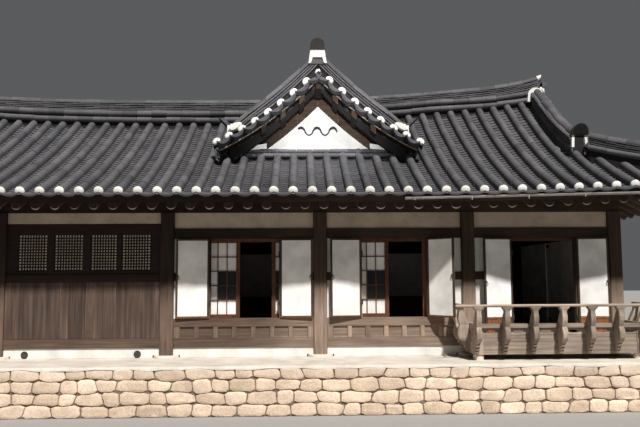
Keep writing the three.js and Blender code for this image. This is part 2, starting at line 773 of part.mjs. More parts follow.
function addMainRoof() {
  const vergeBacks = END_BACKS.filter((back) => back >= VERGE_INSET);
  const underVerges = [-1, 1].map((side) => belowEndSlope(side, vergeBacks));
  for (const [name, side] of [['front_roof', -1], ['rear_roof', 1]]) {
    const tiles = longLayer(side, TILE_BACKS, 0, TILE_BOTTOM, TROUGH_TOP);
    const earth = longLayer(side, EARTH_BACKS, EARTH_INSET, EARTH_BOTTOM, TILE_BOTTOM + EARTH_OVERLAP);
    const reach = HALF_LENGTH - ROW_START;
    const rows = tileRows(side, MIDDLE_X - reach, MIDDLE_X + reach);
    const whole = join([tiles, earth, ...rows, ...longRafters(side)]);
    addPiece(name, cut(whole, underVerges), 'tile');
  }
  for (const [name, side] of [['left_hip_roof', -1], ['right_hip_roof', 1]]) {
    const tiles = endLayer(side, END_BACKS, TILE_BOTTOM, TILE_TOP);
    const earthBacks = [EARTH_INSET, ...END_BACKS.slice(2)];
    const earth = endLayer(side, earthBacks, EARTH_BOTTOM, TILE_BOTTOM + EARTH_OVERLAP);
    addPiece(name, join([tiles, earth, ...endRafters(side)]), 'tile');
  }
}

// Cross gable

function gableHeight(x, y) {
  const apexRun = (MIDDLE_Y - y) / (MIDDLE_Y - GABLE_VERGE);
  const apex = GABLE_APEX_BACK + GABLE_APEX_RISE * apexRun * apexRun;
  const offset = Math.abs(x);
  return apex - GABLE_SLOPE * offset + GABLE_CURVE * offset * offset;
}

const GABLE_BACK = MIDDLE_Y - MAIN_RIDGE_WIDTH / 2 - GAP;

const GABLE_STATIONS = [GABLE_VERGE, GABLE_DESCENT_FRONT, 930, 1420, 1910, GABLE_BACK];

// How far the tiles in front of the gable's descending ridges rise towards the verge
function vergeRise(y) {
  const share = (GABLE_DESCENT_FRONT - y) / (GABLE_DESCENT_FRONT - GABLE_VERGE);
  return GABLE_VERGE_RISE * Math.max(0, share);
}

function gableLayer(front, low, high, rise = () => 0) {
  return gridSolid(
    stations(-GABLE_HALF, GABLE_HALF, 12),
    [front, ...GABLE_STATIONS.filter((y) => y > front)],
    (x, y) => [x, y, gableHeight(x, y) + high + rise(y)],
    (x, y) => [x, y, gableHeight(x, y) + low],
  );
}

function addGableRoof() {
  const tiles = gableLayer(GABLE_VERGE, GABLE_SOFFIT, TILE_TOP, vergeRise);
  const earth = gableLayer(GABLE_WALL, EARTH_BOTTOM, GABLE_SOFFIT + EARTH_OVERLAP);
  addPiece('gable_roof', cut(join([tiles, earth]), belowGable()), 'tile');
}

// A board or beam under a curved roof: us run along the roof's edge and vs out from the wall. It hangs from
// the underside at top(u, v) down to a given depth
function hungSolid(us, vs, top, depth) {
  return gridSolid(us, vs, top, (u, v) => {
    const [x, y, z] = top(u, v);
    return [x, y, z - depth];
  });
}

// The front gable: its wall, bargeboards and the outlookers that carry the verge
function addFrontGable() {
  const under = (x, y) => [x, y, gableHeight(x, y) + GABLE_SOFFIT - GAP];
  const boardFront = GABLE_WALL - BARGEBOARD_THICKNESS;
  const half = GABLE_WALL_HALF;
  const wall = box(-half, half, GABLE_WALL, GABLE_WALL + GABLE_WALL_THICKNESS, ...FRONT_WALL_SPAN);
  const board = hungSolid(
    stations(-half, half, 10),
    [boardFront, GABLE_WALL + BEDDING],
    under,
    BARGEBOARD_DEPTH,
  );
  const reach = OUTLOOKER_WIDTH / 2;
  const ends = [GABLE_VERGE + OUTLOOKER_INSET, boardFront + 10];
  const outlookers = mirrored(GABLE_OUTLOOKERS).map((x) => (
    hungSolid([x - reach, x + reach], ends, under, OUTLOOKER_HEIGHT)
  ));
  const cutters = [
    ...belowGable(),
    gableLayer(GABLE_VERGE, GABLE_SOFFIT - GAP, CUTTER_REACH),
    gableLayer(GABLE_WALL - GAP, EARTH_BOTTOM - GAP, CUTTER_REACH),
  ];
  addPiece('front_gable', cut(join([wall, board, ...outlookers]), cutters), 'plaster');
}

function mirrored(offsets) {
  return offsets.flatMap((offset) => (offset === 0 ? [0] : [-offset, offset]));
}

// The gable at one end of the main ridge: wall, bargeboards and the outlookers that carry the verge
function addSideGable(name, side) {
  const wallFace = HALF_LENGTH - SIDE_GABLE_INSET;
  const faceX = (distance) => MIDDLE_X + side * distance;
  const height = (x, y) => longSlopeHeight(x, HALF_DEPTH - Math.abs(y - MIDDLE_Y));
  const under = (y, x) => [x, y, height(x, y) + EARTH_BOTTOM - 2 * GAP];
  const facing = [faceX(wallFace - GABLE_WALL_THICKNESS), faceX(wallFace)];
  const middle = [MIDDLE_Y - SIDE_WALL_REACH, MIDDLE_Y + SIDE_WALL_REACH];
  const wall = box(Math.min(...facing), Math.max(...facing), ...middle, ...SIDE_WALL_SPAN);
  const boardOuter = faceX(wallFace + BARGEBOARD_THICKNESS);
  const board = hungSolid(
    stations(MIDDLE_Y - SIDE_BOARD_REACH, MIDDLE_Y + SIDE_BOARD_REACH, 14),
    [faceX(wallFace - BEDDING), boardOuter],
    under,
    BARGEBOARD_DEPTH,
  );
  const reach = OUTLOOKER_WIDTH / 2;
  const verge = HALF_LENGTH - VERGE_INSET - EARTH_INSET;
  const ends = [faceX(verge - OUTLOOKER_INSET), faceX(wallFace + BARGEBOARD_THICKNESS - 10)];
  const outlookers = mirrored(SIDE_OUTLOOKERS).map((offset) => (
    hungSolid([MIDDLE_Y + offset - reach, MIDDLE_Y + offset + reach], ends, under, OUTLOOKER_HEIGHT)
  ));
  const cutters = [belowEndSlope(side), ...aboveLongSlope(-1), ...aboveLongSlope(1)];
  addPiece(name, cut(join([wall, board, ...outlookers]), cutters), 'plaster');
}

// Ridges

function ridgeBaseHeight(x) {
  return longSlopeHeight(x, HALF_DEPTH);
}

const RIDGE_SINK = 160;

function addMainRidge() {
  const half = MAIN_RIDGE_WIDTH / 2;
  const reach = HALF_LENGTH - DESCENT_INSET - SIDE_RIDGE_WIDTH / 2 - GAP;
  const ridge = gridSolid(
    stations(MIDDLE_X - reach, MIDDLE_X + reach, 20),
    [MIDDLE_Y - half, MIDDLE_Y + half],
    (x, y) => [x, y, ridgeBaseHeight(x) + MAIN_RIDGE_HEIGHT],
    (x, y) => [x, y, ridgeBaseHeight(x) - RIDGE_SINK],
  );
  addPiece('main_ridge', cut(ridge, [belowLongSlope(-1), belowLongSlope(1)]), 'tile');
}

function addGableRidges() {
  const half = GABLE_RIDGE_WIDTH / 2;
  const front = GABLE_VERGE + 60;
  const ridge = gridSolid(
    [-half, half],
    stations(front, GABLE_BACK, 5),
    (x, y) => [x, y, gableHeight(0, y) + GABLE_RIDGE_HEIGHT],
    (x, y) => [x, y, gableHeight(0, y) - 200],
  );
  const reach = GABLE_DESCENT_WIDTH / 2;
  const descentY = GABLE_DESCENT_FRONT + reach;
  const descents = [-1, 1].map((side) => gridSolid(
    stations(0, side * 1640, 8),
    [descentY - reach, descentY + reach],
    (x, y) => [x, y, gableHeight(x, descentY) + GABLE_DESCENT_HEIGHT],
    (x, y) => [x, y, gableHeight(x, y) - 60],
  ));
  const finial = endTile(FINIAL_HALF, FINIAL_LOW, FINIAL_TOP).translate(0, GABLE_VERGE + 30, 0);
  const below = gableLayer(GABLE_VERGE, -CUTTER_REACH, TILE_TOP + GAP, vergeRise);
  addPiece('gable_ridge', cut(join([ridge, ...descents, finial]), [below]), 'tile');
}

// An upright end tile with a round head, its face in the plane y = 0 and looking towards -Y
function endTile(half, low, top) {
  const spring = top - END_TILE_HEAD;
  const shape = new THREE.Shape();
  shape.moveTo(-half, low);
  shape.lineTo(half, low);
  shape.lineTo(half, spring);
  shape.absellipse(0, spring, half, END_TILE_HEAD, 0, Math.PI);
  shape.lineTo(-half, low);
  const geometry = new THREE.ExtrudeGeometry(shape, {
    depth: END_TILE_THICKNESS,
    bevelEnabled: false,
    curveSegments: 6,
  });
  const place = new THREE.Matrix4().makeBasis(
    new THREE.Vector3(1, 0, 0),
    new THREE.Vector3(0, 0, 1),
    new THREE.Vector3(0, -1, 0),
  );
  return geometry.applyMatrix4(place).translate(0, END_TILE_THICKNESS, 0);
}

// The ridges at one end: down both verges, and on along both hips to the eave corners
function addEndRidges(name, side) {
  const half = SIDE_RIDGE_WIDTH / 2;
  const descentX = MIDDLE_X + side * (HALF_LENGTH - DESCENT_INSET);
  const height = (x, y) => longSlopeHeight(x, HALF_DEPTH - Math.abs(y - MIDDLE_Y));
  const lowEnd = HALF_DEPTH - DESCENT_INSET - 120;
  const rise = (y) => SIDE_RIDGE_HEIGHT + (MAIN_RIDGE_HEIGHT - SIDE_RIDGE_HEIGHT)
    * Math.max(0, 1 - Math.abs(y - MIDDLE_Y) / 500);
  const descent = gridSolid(
    stations(MIDDLE_Y - lowEnd, MIDDLE_Y + lowEnd, 16),
    [descentX - half, descentX + half],
    (y, x) => [x, y, height(descentX, y) + TILE_TOP + rise(y)],
    (y, x) => [x, y, height(x, y) - 100],
  );
  const hips = [-1, 1].map((front) => gridSolid(
    stations(DESCENT_INSET + 60, 60, 8),
    [-half, half],
    (back, across) => hipPoint(side, front, back, across, TILE_TOP + HIP_RIDGE_HEIGHT + hipTipRise(back)),
    (back, across) => hipPoint(side, front, back, across, -100),
  ));
  const tiles = [];
  for (const front of [-1, 1]) {
    const facing = front < 0 ? 0 : Math.PI;
    const endY = MIDDLE_Y + front * lowEnd;
    const surface = height(descentX, endY);
    const descentTile = endTile(END_TILE_HALF, surface - 100, surface + DESCENT_TILE_RISE);
    tiles.push(descentTile.rotateZ(facing).translate(descentX, endY, 0));
    const [hipX, hipY, hipZ] = hipPoint(side, front, 60, 0, 0);
    const hipTile = endTile(END_TILE_HALF, hipZ - 60, hipZ + HIP_TILE_RISE);
    tiles.push(hipTile.rotateZ(facing - (side * front * Math.PI) / 4).translate(hipX, hipY, 0));
  }
  const ridgeSurface = height(descentX, MIDDLE_Y);
  const ridgeTile = endTile(END_TILE_HALF, ridgeSurface, ridgeSurface + RIDGE_TILE_RISE);
  tiles.push(ridgeTile.rotateZ((side * Math.PI) / 2).translate(descentX + side * half, MIDDLE_Y, 0));
  const cutters = [belowLongSlope(-1), belowLongSlope(1), belowEndSlope(side)];
  addPiece(name, cut(join([descent, ...hips, ...tiles]), cutters), 'tile');
}

function hipTipRise(back) {
  return HIP_TIP_RISE * (1 - back / DESCENT_INSET) ** 2;
}

function hipPoint(side, front, back, across, rise) {
  const shift = across * Math.SQRT1_2;
  return [
    MIDDLE_X + side * (HALF_LENGTH - back + shift),
    MIDDLE_Y + front * (HALF_DEPTH - back - shift),
    slopeHeight(back, back, back) + rise,
  ];
}

// Balcony

function addBalconyDeck() {
  const back = -COLUMN / 2 - GAP;
  const slab = box(BALCONY_LEFT, BALCONY_RIGHT, BALCONY_FRONT, back, DECK_TOP - DECK_THICKNESS, DECK_TOP);
  const fascia = (x0, x1, y1) => box(x0, x1, BALCONY_FRONT, y1, FASCIA_BOTTOM, FASCIA_TOP);
  const front = fascia(BALCONY_LEFT, BALCONY_RIGHT, BALCONY_FRONT + FASCIA_THICKNESS);
  const left = fascia(BALCONY_LEFT, BALCONY_LEFT + FASCIA_THICKNESS, back);
  const right = fascia(BALCONY_RIGHT - FASCIA_THICKNESS, BALCONY_RIGHT, back);
  addPiece('balcony_deck', join([slab, front, left, right]), 'paleTimber');
}

// The side outline of a baluster that curves out from the fascia to the rail, as (outward, z)
function balusterOutline() {
  const shape = new THREE.Shape();
  shape.moveTo(0.5, FASCIA_BOTTOM + 20);
  shape.lineTo(90, FASCIA_BOTTOM + 30);
  shape.bezierCurveTo(110, 300, 60, 420, 110, 560);
  shape.bezierCurveTo(150, 660, 240, 700, 235, TOP_RAIL_HEIGHT - TOP_RAIL_RADIUS + 6);
  shape.lineTo(185, TOP_RAIL_HEIGHT - TOP_RAIL_RADIUS + 6);
  shape.bezierCurveTo(185, 740, 90, 700, 50, 590);
  shape.bezierCurveTo(25, 520, 20, 460, 0.5, 440);
  return shape;
}

// A baluster that curves out towards -Y from the origin, its outward reach scaled
function baluster(scale) {
  const geometry = new THREE.ExtrudeGeometry(balusterOutline(), {
    depth: BALUSTER_THICKNESS,
    bevelEnabled: false,
    curveSegments: 3,
  });
  const place = new THREE.Matrix4().makeBasis(
    new THREE.Vector3(0, -1, 0),
    new THREE.Vector3(0, 0, 1),
    new THREE.Vector3(-1, 0, 0),
  );
  return geometry.applyMatrix4(place).translate(BALUSTER_THICKNESS / 2, 0, 0).scale(1, scale, 1);
}

function addBalconyRailing() {
  const inset = BALUSTER_THICKNESS / 2;
  const xs = stations(BALCONY_LEFT + inset, BALCONY_RIGHT - inset, BALUSTERS - 1);
  const balusters = xs.map((x) => baluster(1).translate(x, BALCONY_FRONT, 0));
  const sideScale = SIDE_RAIL_REACH / (BALCONY_FRONT - TOP_RAIL_FRONT);
  const corner = (x, y) => new THREE.Vector3(x, y, TOP_RAIL_HEIGHT);
  const rail = (from, to) => log(from, to, TOP_RAIL_RADIUS, 10);
  const frontEnds = [BALCONY_LEFT - TOP_RAIL_OVERRUN, BALCONY_RIGHT + TOP_RAIL_OVERRUN];
  const rails = [rail(...frontEnds.map((x) => corner(x, TOP_RAIL_FRONT)))];
  const back = -COLUMN / 2 - GAP;
  for (const [side, edge] of [[-1, BALCONY_LEFT], [1, BALCONY_RIGHT]]) {
    const outer = edge + side * SIDE_RAIL_REACH;
    rails.push(rail(corner(outer, TOP_RAIL_FRONT), corner(outer, -WALL_HALF - GAP)));
    for (const y of SIDE_BALUSTERS) {
      balusters.push(baluster(sideScale).rotateZ((side * Math.PI) / 2).translate(edge, y, 0));
    }
    const inner = edge - side * LOWER_RAIL_RETURN;
    const span = [Math.min(edge, inner), Math.max(edge, inner)];
    rails.push(box(...span, BALCONY_FRONT - LOWER_RAIL_REACH, back, LOWER_RAIL_BOTTOM, LOWER_RAIL_TOP));
  }
  rails.push(box(
    BALCONY_LEFT,
    BALCONY_RIGHT,
    BALCONY_FRONT - LOWER_RAIL_REACH,
    BALCONY_FRONT,
    LOWER_RAIL_BOTTOM,
    LOWER_RAIL_TOP,
  ));
  const deckClear = box(BALCONY_LEFT - GAP, BALCONY_RIGHT + GAP, BALCONY_FRONT - GAP, 0, 0, FASCIA_TOP + GAP);
  addPiece('balcony_railing', cut(join([...rails, ...balusters]), [deckClear]), 'paleTimber');
}

addPodium();
addPlinthAndFloor();
addFrontColumns();
addPlankBays();
DOORWAYS.forEach(addDoorBay);
DOORWAYS.forEach(addDoors);
addRearWall();
addEndWall('left_wall', -1);
addEndWall('right_wall', 1);
addMainRoof();
addGableRoof();
addFrontGable();
addSideGable('left_gable', -1);
addSideGable('right_gable', 1);
addMainRidge();
addGableRidges();
addEndRidges('left_ridges', -1);
addEndRidges('right_ridges', 1);
addBalconyDeck();
addBalconyRailing();

export default house;
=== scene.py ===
"""Looks of the hanok house: tiles, ridges, timber, plaster, paper doors, balcony and stone podium."""
import json
import math
import bpy
import numpy as np
from mathutils import Matrix, Vector

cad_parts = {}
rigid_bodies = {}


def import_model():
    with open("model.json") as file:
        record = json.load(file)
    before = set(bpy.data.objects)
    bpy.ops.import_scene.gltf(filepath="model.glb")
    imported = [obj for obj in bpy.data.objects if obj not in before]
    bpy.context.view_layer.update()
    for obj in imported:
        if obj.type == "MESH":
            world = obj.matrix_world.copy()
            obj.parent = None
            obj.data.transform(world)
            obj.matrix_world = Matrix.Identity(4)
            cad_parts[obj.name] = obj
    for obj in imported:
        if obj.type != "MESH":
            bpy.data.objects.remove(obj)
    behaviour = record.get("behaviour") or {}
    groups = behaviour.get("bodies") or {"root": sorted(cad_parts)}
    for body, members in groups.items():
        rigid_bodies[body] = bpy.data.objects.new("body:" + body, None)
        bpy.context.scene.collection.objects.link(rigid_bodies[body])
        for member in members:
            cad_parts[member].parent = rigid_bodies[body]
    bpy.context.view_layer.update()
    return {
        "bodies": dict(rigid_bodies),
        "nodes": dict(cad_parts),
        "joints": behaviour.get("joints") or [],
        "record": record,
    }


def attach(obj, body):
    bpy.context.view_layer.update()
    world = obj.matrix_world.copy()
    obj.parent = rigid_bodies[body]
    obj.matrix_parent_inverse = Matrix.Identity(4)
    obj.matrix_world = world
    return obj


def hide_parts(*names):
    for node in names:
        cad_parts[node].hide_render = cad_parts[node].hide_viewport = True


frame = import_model()
rng = np.random.default_rng(7)

# Driving dimensions in metres, the same as the solids'. Heights count from the podium's top.
GROUND = 0.75
PODIUM_REACH = 1.27
BAY_B, BAY_C, BAY_D = 2.59, 2.535, 2.555
PLANK_BAY = 2.81
RIGHT_X = BAY_C + BAY_D
LEFT_X = -BAY_B - 3 * PLANK_BAY
COLUMN_LINES = [RIGHT_X, BAY_C, 0, -BAY_B, -BAY_B - PLANK_BAY, -BAY_B - 2 * PLANK_BAY, LEFT_X]
DEPTH = 5.12
COLUMN = 0.23
MIDDLE_X = (LEFT_X + RIGHT_X) / 2
MIDDLE_Y = DEPTH / 2
OVERHANG = 1.21
HALF_LENGTH = (RIGHT_X - LEFT_X) / 2 + OVERHANG
HALF_DEPTH = MIDDLE_Y + OVERHANG
VERGE_INSET = 1.23
DESCENT_INSET = 1.50
GABLE_VERGE = 0.30
SIDE_GABLE_INSET = 1.88
EAVE_HEIGHT = 2.70
SLOPE_RISE, SLOPE_CURVE = 0.395, 0.0295
EAVE_LIFT, EAVE_LIFT_REACH = 0.200, 6.0
RIDGE_LIFT, RIDGE_LIFT_REACH = 0.570, 7.72
GABLE_RIDGE_HEIGHT, GABLE_RIDGE_LIFT = 4.80, 0.21
GABLE_FALL, GABLE_CURVE = 0.995, 0.148


# Small geometry helpers

def array(*values):
    return np.array(values, dtype=float)


def unit(vectors):
    return vectors / np.linalg.norm(vectors, axis=-1, keepdims=True)


def full_turn(count):
    return np.linspace(0, 2 * np.pi, count, endpoint=False)


def arc(first, last, count):
    """Angles between two given in degrees, both included."""
    return np.radians(np.linspace(first, last, count))


def square_to(run):
    """Two directions square to a run and to each other, the first of them level."""
    level = unit(np.cross(run, array(0, 0, 1)))
    return level, np.cross(level, run)


def spokes(angles, level, above):
    return np.cos(angles)[:, None] * level + np.sin(angles)[:, None] * above


def grid_quads(rows, columns, closed=False):
    """Quads between the rows of a grid of points."""
    last = columns if closed else columns - 1
    i, j = np.meshgrid(np.arange(rows - 1), np.arange(last), indexing="ij")
    i, j = i.ravel(), j.ravel()
    k = (j + 1) % columns
    return np.stack([i * columns + j, i * columns + k, (i + 1) * columns + k, (i + 1) * columns + j], axis=1)


def ladder(ring):
    """Quads that close a ring with an even number of points."""
    n = len(ring)
    return np.array([[ring[i], ring[i + 1], ring[n - 2 - i], ring[n - 1 - i]] for i in range(n // 2 - 1)])


def loft(sections, capped=True):
    """Points and quads of a tube through sections of shape (rows, columns, 3)."""
    rows, columns = sections.shape[:2]
    quads = [grid_quads(rows, columns, closed=True)]
    if capped:
        quads.append(ladder(np.arange(columns)))
        quads.append(ladder(np.arange(columns)[::-1] + (rows - 1) * columns))
    return sections.reshape(-1, 3), np.concatenate(quads)


BOX_QUADS = np.array([[0, 1, 3, 2], [4, 6, 7, 5], [0, 4, 5, 1], [2, 3, 7, 6], [0, 2, 6, 4], [1, 5, 7, 3]])


def box_points(low, high):
    xs, ys, zs = zip(low, high)
    return np.array([[x, y, z] for x in xs for y in ys for z in zs], dtype=float)


class Shape:
    """Gathers many small bodies and sheets into one mesh."""

    def __init__(self):
        self.points = []
        self.quads = []
        self.tones = []
        self.count = 0

    def add(self, points, quads, tone=None, facing=None):
        """Adds a closed body, or with facing given a sheet whose faces look that way."""
        points = np.asarray(points, dtype=float)
        a, b, c, d = (points[quads[:, k]] for k in range(4))
        normals = np.cross(c - a, d - b)
        keep = np.linalg.norm(normals, axis=1) > 1e-8
        quads, normals, middles = quads[keep], normals[keep], ((a + b + c + d) / 4)[keep]
        if not len(quads):
            return
        if facing is None:
            outward = np.sum(normals * (middles - points.mean(axis=0)))
        else:
            outward = np.sum(normals @ np.asarray(facing, dtype=float))
        if outward < 0:
            quads = quads[:, ::-1]
        self.points.append(points)
        self.quads.append(quads + self.count)
        self.tones.append(np.full(len(quads), rng.random() if tone is None else tone))
        self.count += len(points)

    def box(self, low, high, tone=None):
        self.add(box_points(low, high), BOX_QUADS, tone)

    def prism(self, outline, direction, tone=None):
        """A flat outline with an even number of points, drawn out along a direction."""
        outline = np.asarray(outline, dtype=float)
        self.add(*loft(np.stack([outline, outline + np.asarray(direction, dtype=float)])), tone=tone)

    def build(self, name, material, slot, body="house", replaces=(), smooth=None, bevel=0):
        mesh = bpy.data.meshes.new(name)
        mesh.from_pydata(np.concatenate(self.points).tolist(), [], np.concatenate(self.quads).tolist())
        tone = mesh.attributes.new("tone", "FLOAT", "FACE")
        tone.data.foreach_set("value", np.concatenate(self.tones))
        if smooth is not None:
            mesh.polygons.foreach_set("use_smooth", [True] * len(mesh.polygons))
            mesh.set_sharp_from_angle(angle=math.radians(smooth))
        mesh.materials.append(material)
        piece = bpy.data.objects.new(name, mesh)
        bpy.context.scene.collection.objects.link(piece)
        if bevel:
            modifier = piece.modifiers.new("Bevel", "BEVEL")
            modifier.width = bevel
            modifier.segments = 1
            modifier.limit_method = "ANGLE"
            modifier.angle_limit = math.radians(50)
            modifier.harden_normals = False
        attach(piece, body)
        if replaces:
            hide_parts(*replaces)
        return piece


# Materials

def new_material(name, roughness=0.8):
    material = bpy.data.materials.new(name)
    material.use_nodes = True
    tree = material.node_tree
    shader = tree.nodes["Principled BSDF"]
    shader.inputs["Roughness"].default_value = roughness
    shader.inputs["Specular IOR Level"].default_value = 0.3
    return material, tree, shader


def link(tree, source, target):
    tree.links.new(source, target)


def noise(tree, scale, stretch, detail, roughness=0.55):
    """Noise over the object's own coordinates, stretched along its grain."""
    place = tree.nodes.new("ShaderNodeTexCoord")
    mapping = tree.nodes.new("ShaderNodeMapping")
    mapping.inputs["Scale"].default_value = stretch
    link(tree, place.outputs["Object"], mapping.inputs["Vector"])
    texture = tree.nodes.new("ShaderNodeTexNoise")
    texture.inputs["Scale"].default_value = scale
    texture.inputs["Detail"].default_value = detail
    texture.inputs["Roughness"].default_value = roughness
    link(tree, mapping.outputs["Vector"], texture.inputs["Vector"])
    return texture.outputs["Fac"]


def ramp(tree, factor, stops):
    node = tree.nodes.new("ShaderNodeValToRGB")
    elements = node.color_ramp.elements
    while len(elements) < len(stops):
        elements.new(0.5)
    for element, (position, colour) in zip(elements, stops):
        element.position = position
        element.color = (*colour, 1)
    link(tree, factor, node.inputs["Fac"])
    return node.outputs["Color"]


def mix(tree, blend, factor, first, second):
    node = tree.nodes.new("ShaderNodeMix")
    node.data_type = "RGBA"
    node.blend_type = blend
    for socket, value in (("Factor", factor), ("A", first), ("B", second)):
        target = [s for s in node.inputs if s.name == socket and s.enabled][0]
        if hasattr(value, "node"):
            link(tree, value, target)
        else:
            target.default_value = value if socket == "Factor" else (*value, 1)
    return [s for s in node.outputs if s.enabled][0]


def tone_factor(tree):
    node = tree.nodes.new("ShaderNodeAttribute")
    node.attribute_name = "tone"
    return node.outputs["Fac"]


def bump(tree, shader, height, strength, distance):
    node = tree.nodes.new("ShaderNodeBump")
    node.inputs["Strength"].default_value = strength
    node.inputs["Distance"].default_value = distance
    link(tree, height, node.inputs["Height"])
    link(tree, node.outputs["Normal"], shader.inputs["Normal"])


def height_mask(tree, low, high, axis="Z"):
    """Zero below one height and one above another, over the podium's top, or the same along the front."""
    place = tree.nodes.new("ShaderNodeTexCoord")
    parts = tree.nodes.new("ShaderNodeSeparateXYZ")
    link(tree, place.outputs["Object"], parts.inputs["Vector"])
    node = tree.nodes.new("ShaderNodeMapRange")
    node.interpolation_type = "SMOOTHSTEP"
    link(tree, parts.outputs[axis], node.inputs["Value"])
    origin = GROUND if axis == "Z" else 0
    node.inputs["From Min"].default_value = origin + low
    node.inputs["From Max"].default_value = origin + high
    return node.outputs["Result"]


# Painted shade: over this span along the front the timbers with the paler lower ramp darken, to the full tint
# at its left end.
PAINTED_LEFT_SHADE_SPAN = (-0.2, -1.2)
PAINTED_LEFT_SHADE_TINT = (0.48, 0.44, 0.42)
WHITE = EVEN = (1.0, 1.0, 1.0)


def greys(low, high):
    return [(0.0, (low,) * 3), (1.0, (high,) * 3)]


def between(dark, light):
    return [(0.3, dark), (0.7, light)]


def surface(
    name, base, tones, patches=(), grain=EVEN, fine=60, rough=0.85, bumps=(0.3, 0.004), coarse=3,
    weathering_and_painted_shade=None, washed=None,
):
    """A weathered surface: a base ramp in fine noise, each piece's own tone, and patches of other colours.

    With weathering_and_painted_shade given, as two heights and a colour ramp, the surface turns to that paler
    ramp
    between them, downwards: partly weathering, and partly painted shade, the darker colour above standing for
    the shade under the eaves. It is then also darker to the left of the doors, as painted shade. With washed
    given, as two heights and a colour, it takes some of that colour between them, upwards.
    """
    material, tree, shader = new_material(name, rough)
    fine_noise = noise(tree, fine, grain, 6, 0.62)
    colour = ramp(tree, fine_noise, base)
    if weathering_and_painted_shade:
        low, high, stops = weathering_and_painted_shade
        colour = mix(tree, "MIX", height_mask(tree, low, high), ramp(tree, fine_noise, stops), colour)
        # Painted shade, darker to the left of the doors.
        colour = mix(tree, "MULTIPLY", height_mask(tree, *PAINTED_LEFT_SHADE_SPAN, axis="X"), colour, PAINTED_LEFT_SHADE_TINT)
    broad = ramp(tree, noise(tree, coarse, EVEN, 3), between((0.80,) * 3, (1.12,) * 3))
    colour = mix(tree, "MULTIPLY", 1.0, colour, broad)
    own = ramp(tree, tone_factor(tree), tones)
    colour = mix(tree, "MULTIPLY", 1.0, colour, own)
    for scale, low, high, patch_colour, strength in patches:
        mask = ramp(tree, noise(tree, scale, EVEN, 5, 0.7), [(low, (0, 0, 0)), (high, (strength,) * 3)])
        colour = mix(tree, "MIX", mask, colour, patch_colour)
    if washed:
        low, high, wash = washed
        colour = mix(tree, "MIX", height_mask(tree, low, high), colour, wash)
    link(tree, colour, shader.inputs["Base Color"])
    bump(tree, shader, fine_noise, *bumps)
    return material


TILE = surface(
    "fired_clay_tile",
    [(0.25, (0.056, 0.056, 0.062)), (0.75, (0.118, 0.116, 0.124))],
    [(0.0, (0.66, 0.66, 0.69)), (0.5, WHITE), (1.0, (1.36, 1.32, 1.30))],
    patches=[(9, 0.58, 0.74, (0.17, 0.155, 0.13), 0.5), (30, 0.62, 0.77, (0.22, 0.20, 0.17), 0.45)],
    fine=45,
    rough=0.72,
    bumps=(0.35, 0.003),
)
LIME = surface(
    "lime_plaster",
    between((0.70, 0.69, 0.66), (0.86, 0.85, 0.82)),
    [(0.0, (0.90, 0.89, 0.87)), (1.0, WHITE)],
    patches=[(22, 0.60, 0.78, (0.40, 0.38, 0.34), 0.5)],
    fine=70,
    rough=0.9,
)
BAND_PLASTER = surface(
    "aged_plaster",
    between((0.46, 0.38, 0.28), (0.60, 0.51, 0.40)),
    [(0.0, (0.92, 0.91, 0.90)), (1.0, WHITE)],
    patches=[(5, 0.54, 0.74, (0.34, 0.27, 0.19), 0.5)],
    fine=60,
    rough=0.9,
)
# Ridge mortar, near-black as painted shade under the rolls and between the courses.
MORTAR_PAINTED_SHADE = surface(
    "mortar_painted_shade",
    between((0.035, 0.032, 0.030), (0.085, 0.078, 0.072)),
    greys(0.22, 1.7),
    fine=50,
)
INK = surface(
    "black_tile_inlay",
    between((0.02, 0.02, 0.022), (0.05, 0.05, 0.055)),
    greys(1.0, 1.0),
    fine=80,
)


def stops_between(dark, light):
    return [(0.25, dark), (0.5, tuple((a + b) / 2 for a, b in zip(dark, light))), (0.78, light)]


def wood(name, dark, light, axis, rough=0.8, weathering_and_painted_shade=None):
    """Weathered timber with its grain along one axis."""
    grain = list(EVEN)
    grain[axis] = 0.05
    return surface(
        name,
        stops_between(dark, light),
        [(0.0, (0.74, 0.73, 0.72)), (0.5, WHITE), (1.0, (1.26, 1.24, 1.22))],
        grain=tuple(grain),
        fine=26,
        rough=rough,
        bumps=(0.35, 0.003),
        coarse=1.6,
        weathering_and_painted_shade=weathering_and_painted_shade,
    )


# Paler below and darker above: partly weathering, partly painted shade, the dark standing for the eaves'
# shadow.
WEATHERING_AND_PAINTED_SHADE = (0.75, 1.40, stops_between((0.150, 0.105, 0.078), (0.400, 0.300, 0.235)))
BROWN = (0.022, 0.013, 0.008), (0.085, 0.054, 0.035)
PALE = (0.150, 0.110, 0.085), (0.470, 0.390, 0.320)
TIMBER = wood("timber_along_x", *BROWN, 0, weathering_and_painted_shade=WEATHERING_AND_PAINTED_SHADE)
TIMBER_ALONG_Y = wood("timber_along_y", *BROWN, 1)
TIMBER_UPRIGHT = wood("timber_upright", (0.022, 0.014, 0.009), (0.090, 0.058, 0.038), 2, weathering_and_painted_shade=WEATHERING_AND_PAINTED_SHADE)
PALE_TIMBER = wood("pale_timber_along_x", *PALE, 0)
PALE_UPRIGHT = wood("pale_timber_upright", *PALE, 2)
DARK_UPRIGHT = wood("dark_door_timber", (0.026, 0.015, 0.010), (0.085, 0.052, 0.034), 2)
# Near-black timber: painted shade for the parts under the cross gable's verge and the window lattices under
# the eaves.
UPRIGHT_PAINTED_SHADE = wood("black_timber_painted_shade", (0.008, 0.005, 0.004), (0.026, 0.017, 0.012), 2)
ORANGE_TIMBER = wood("orange_timber", (0.125, 0.045, 0.016), (0.300, 0.125, 0.048), 2, rough=0.6)
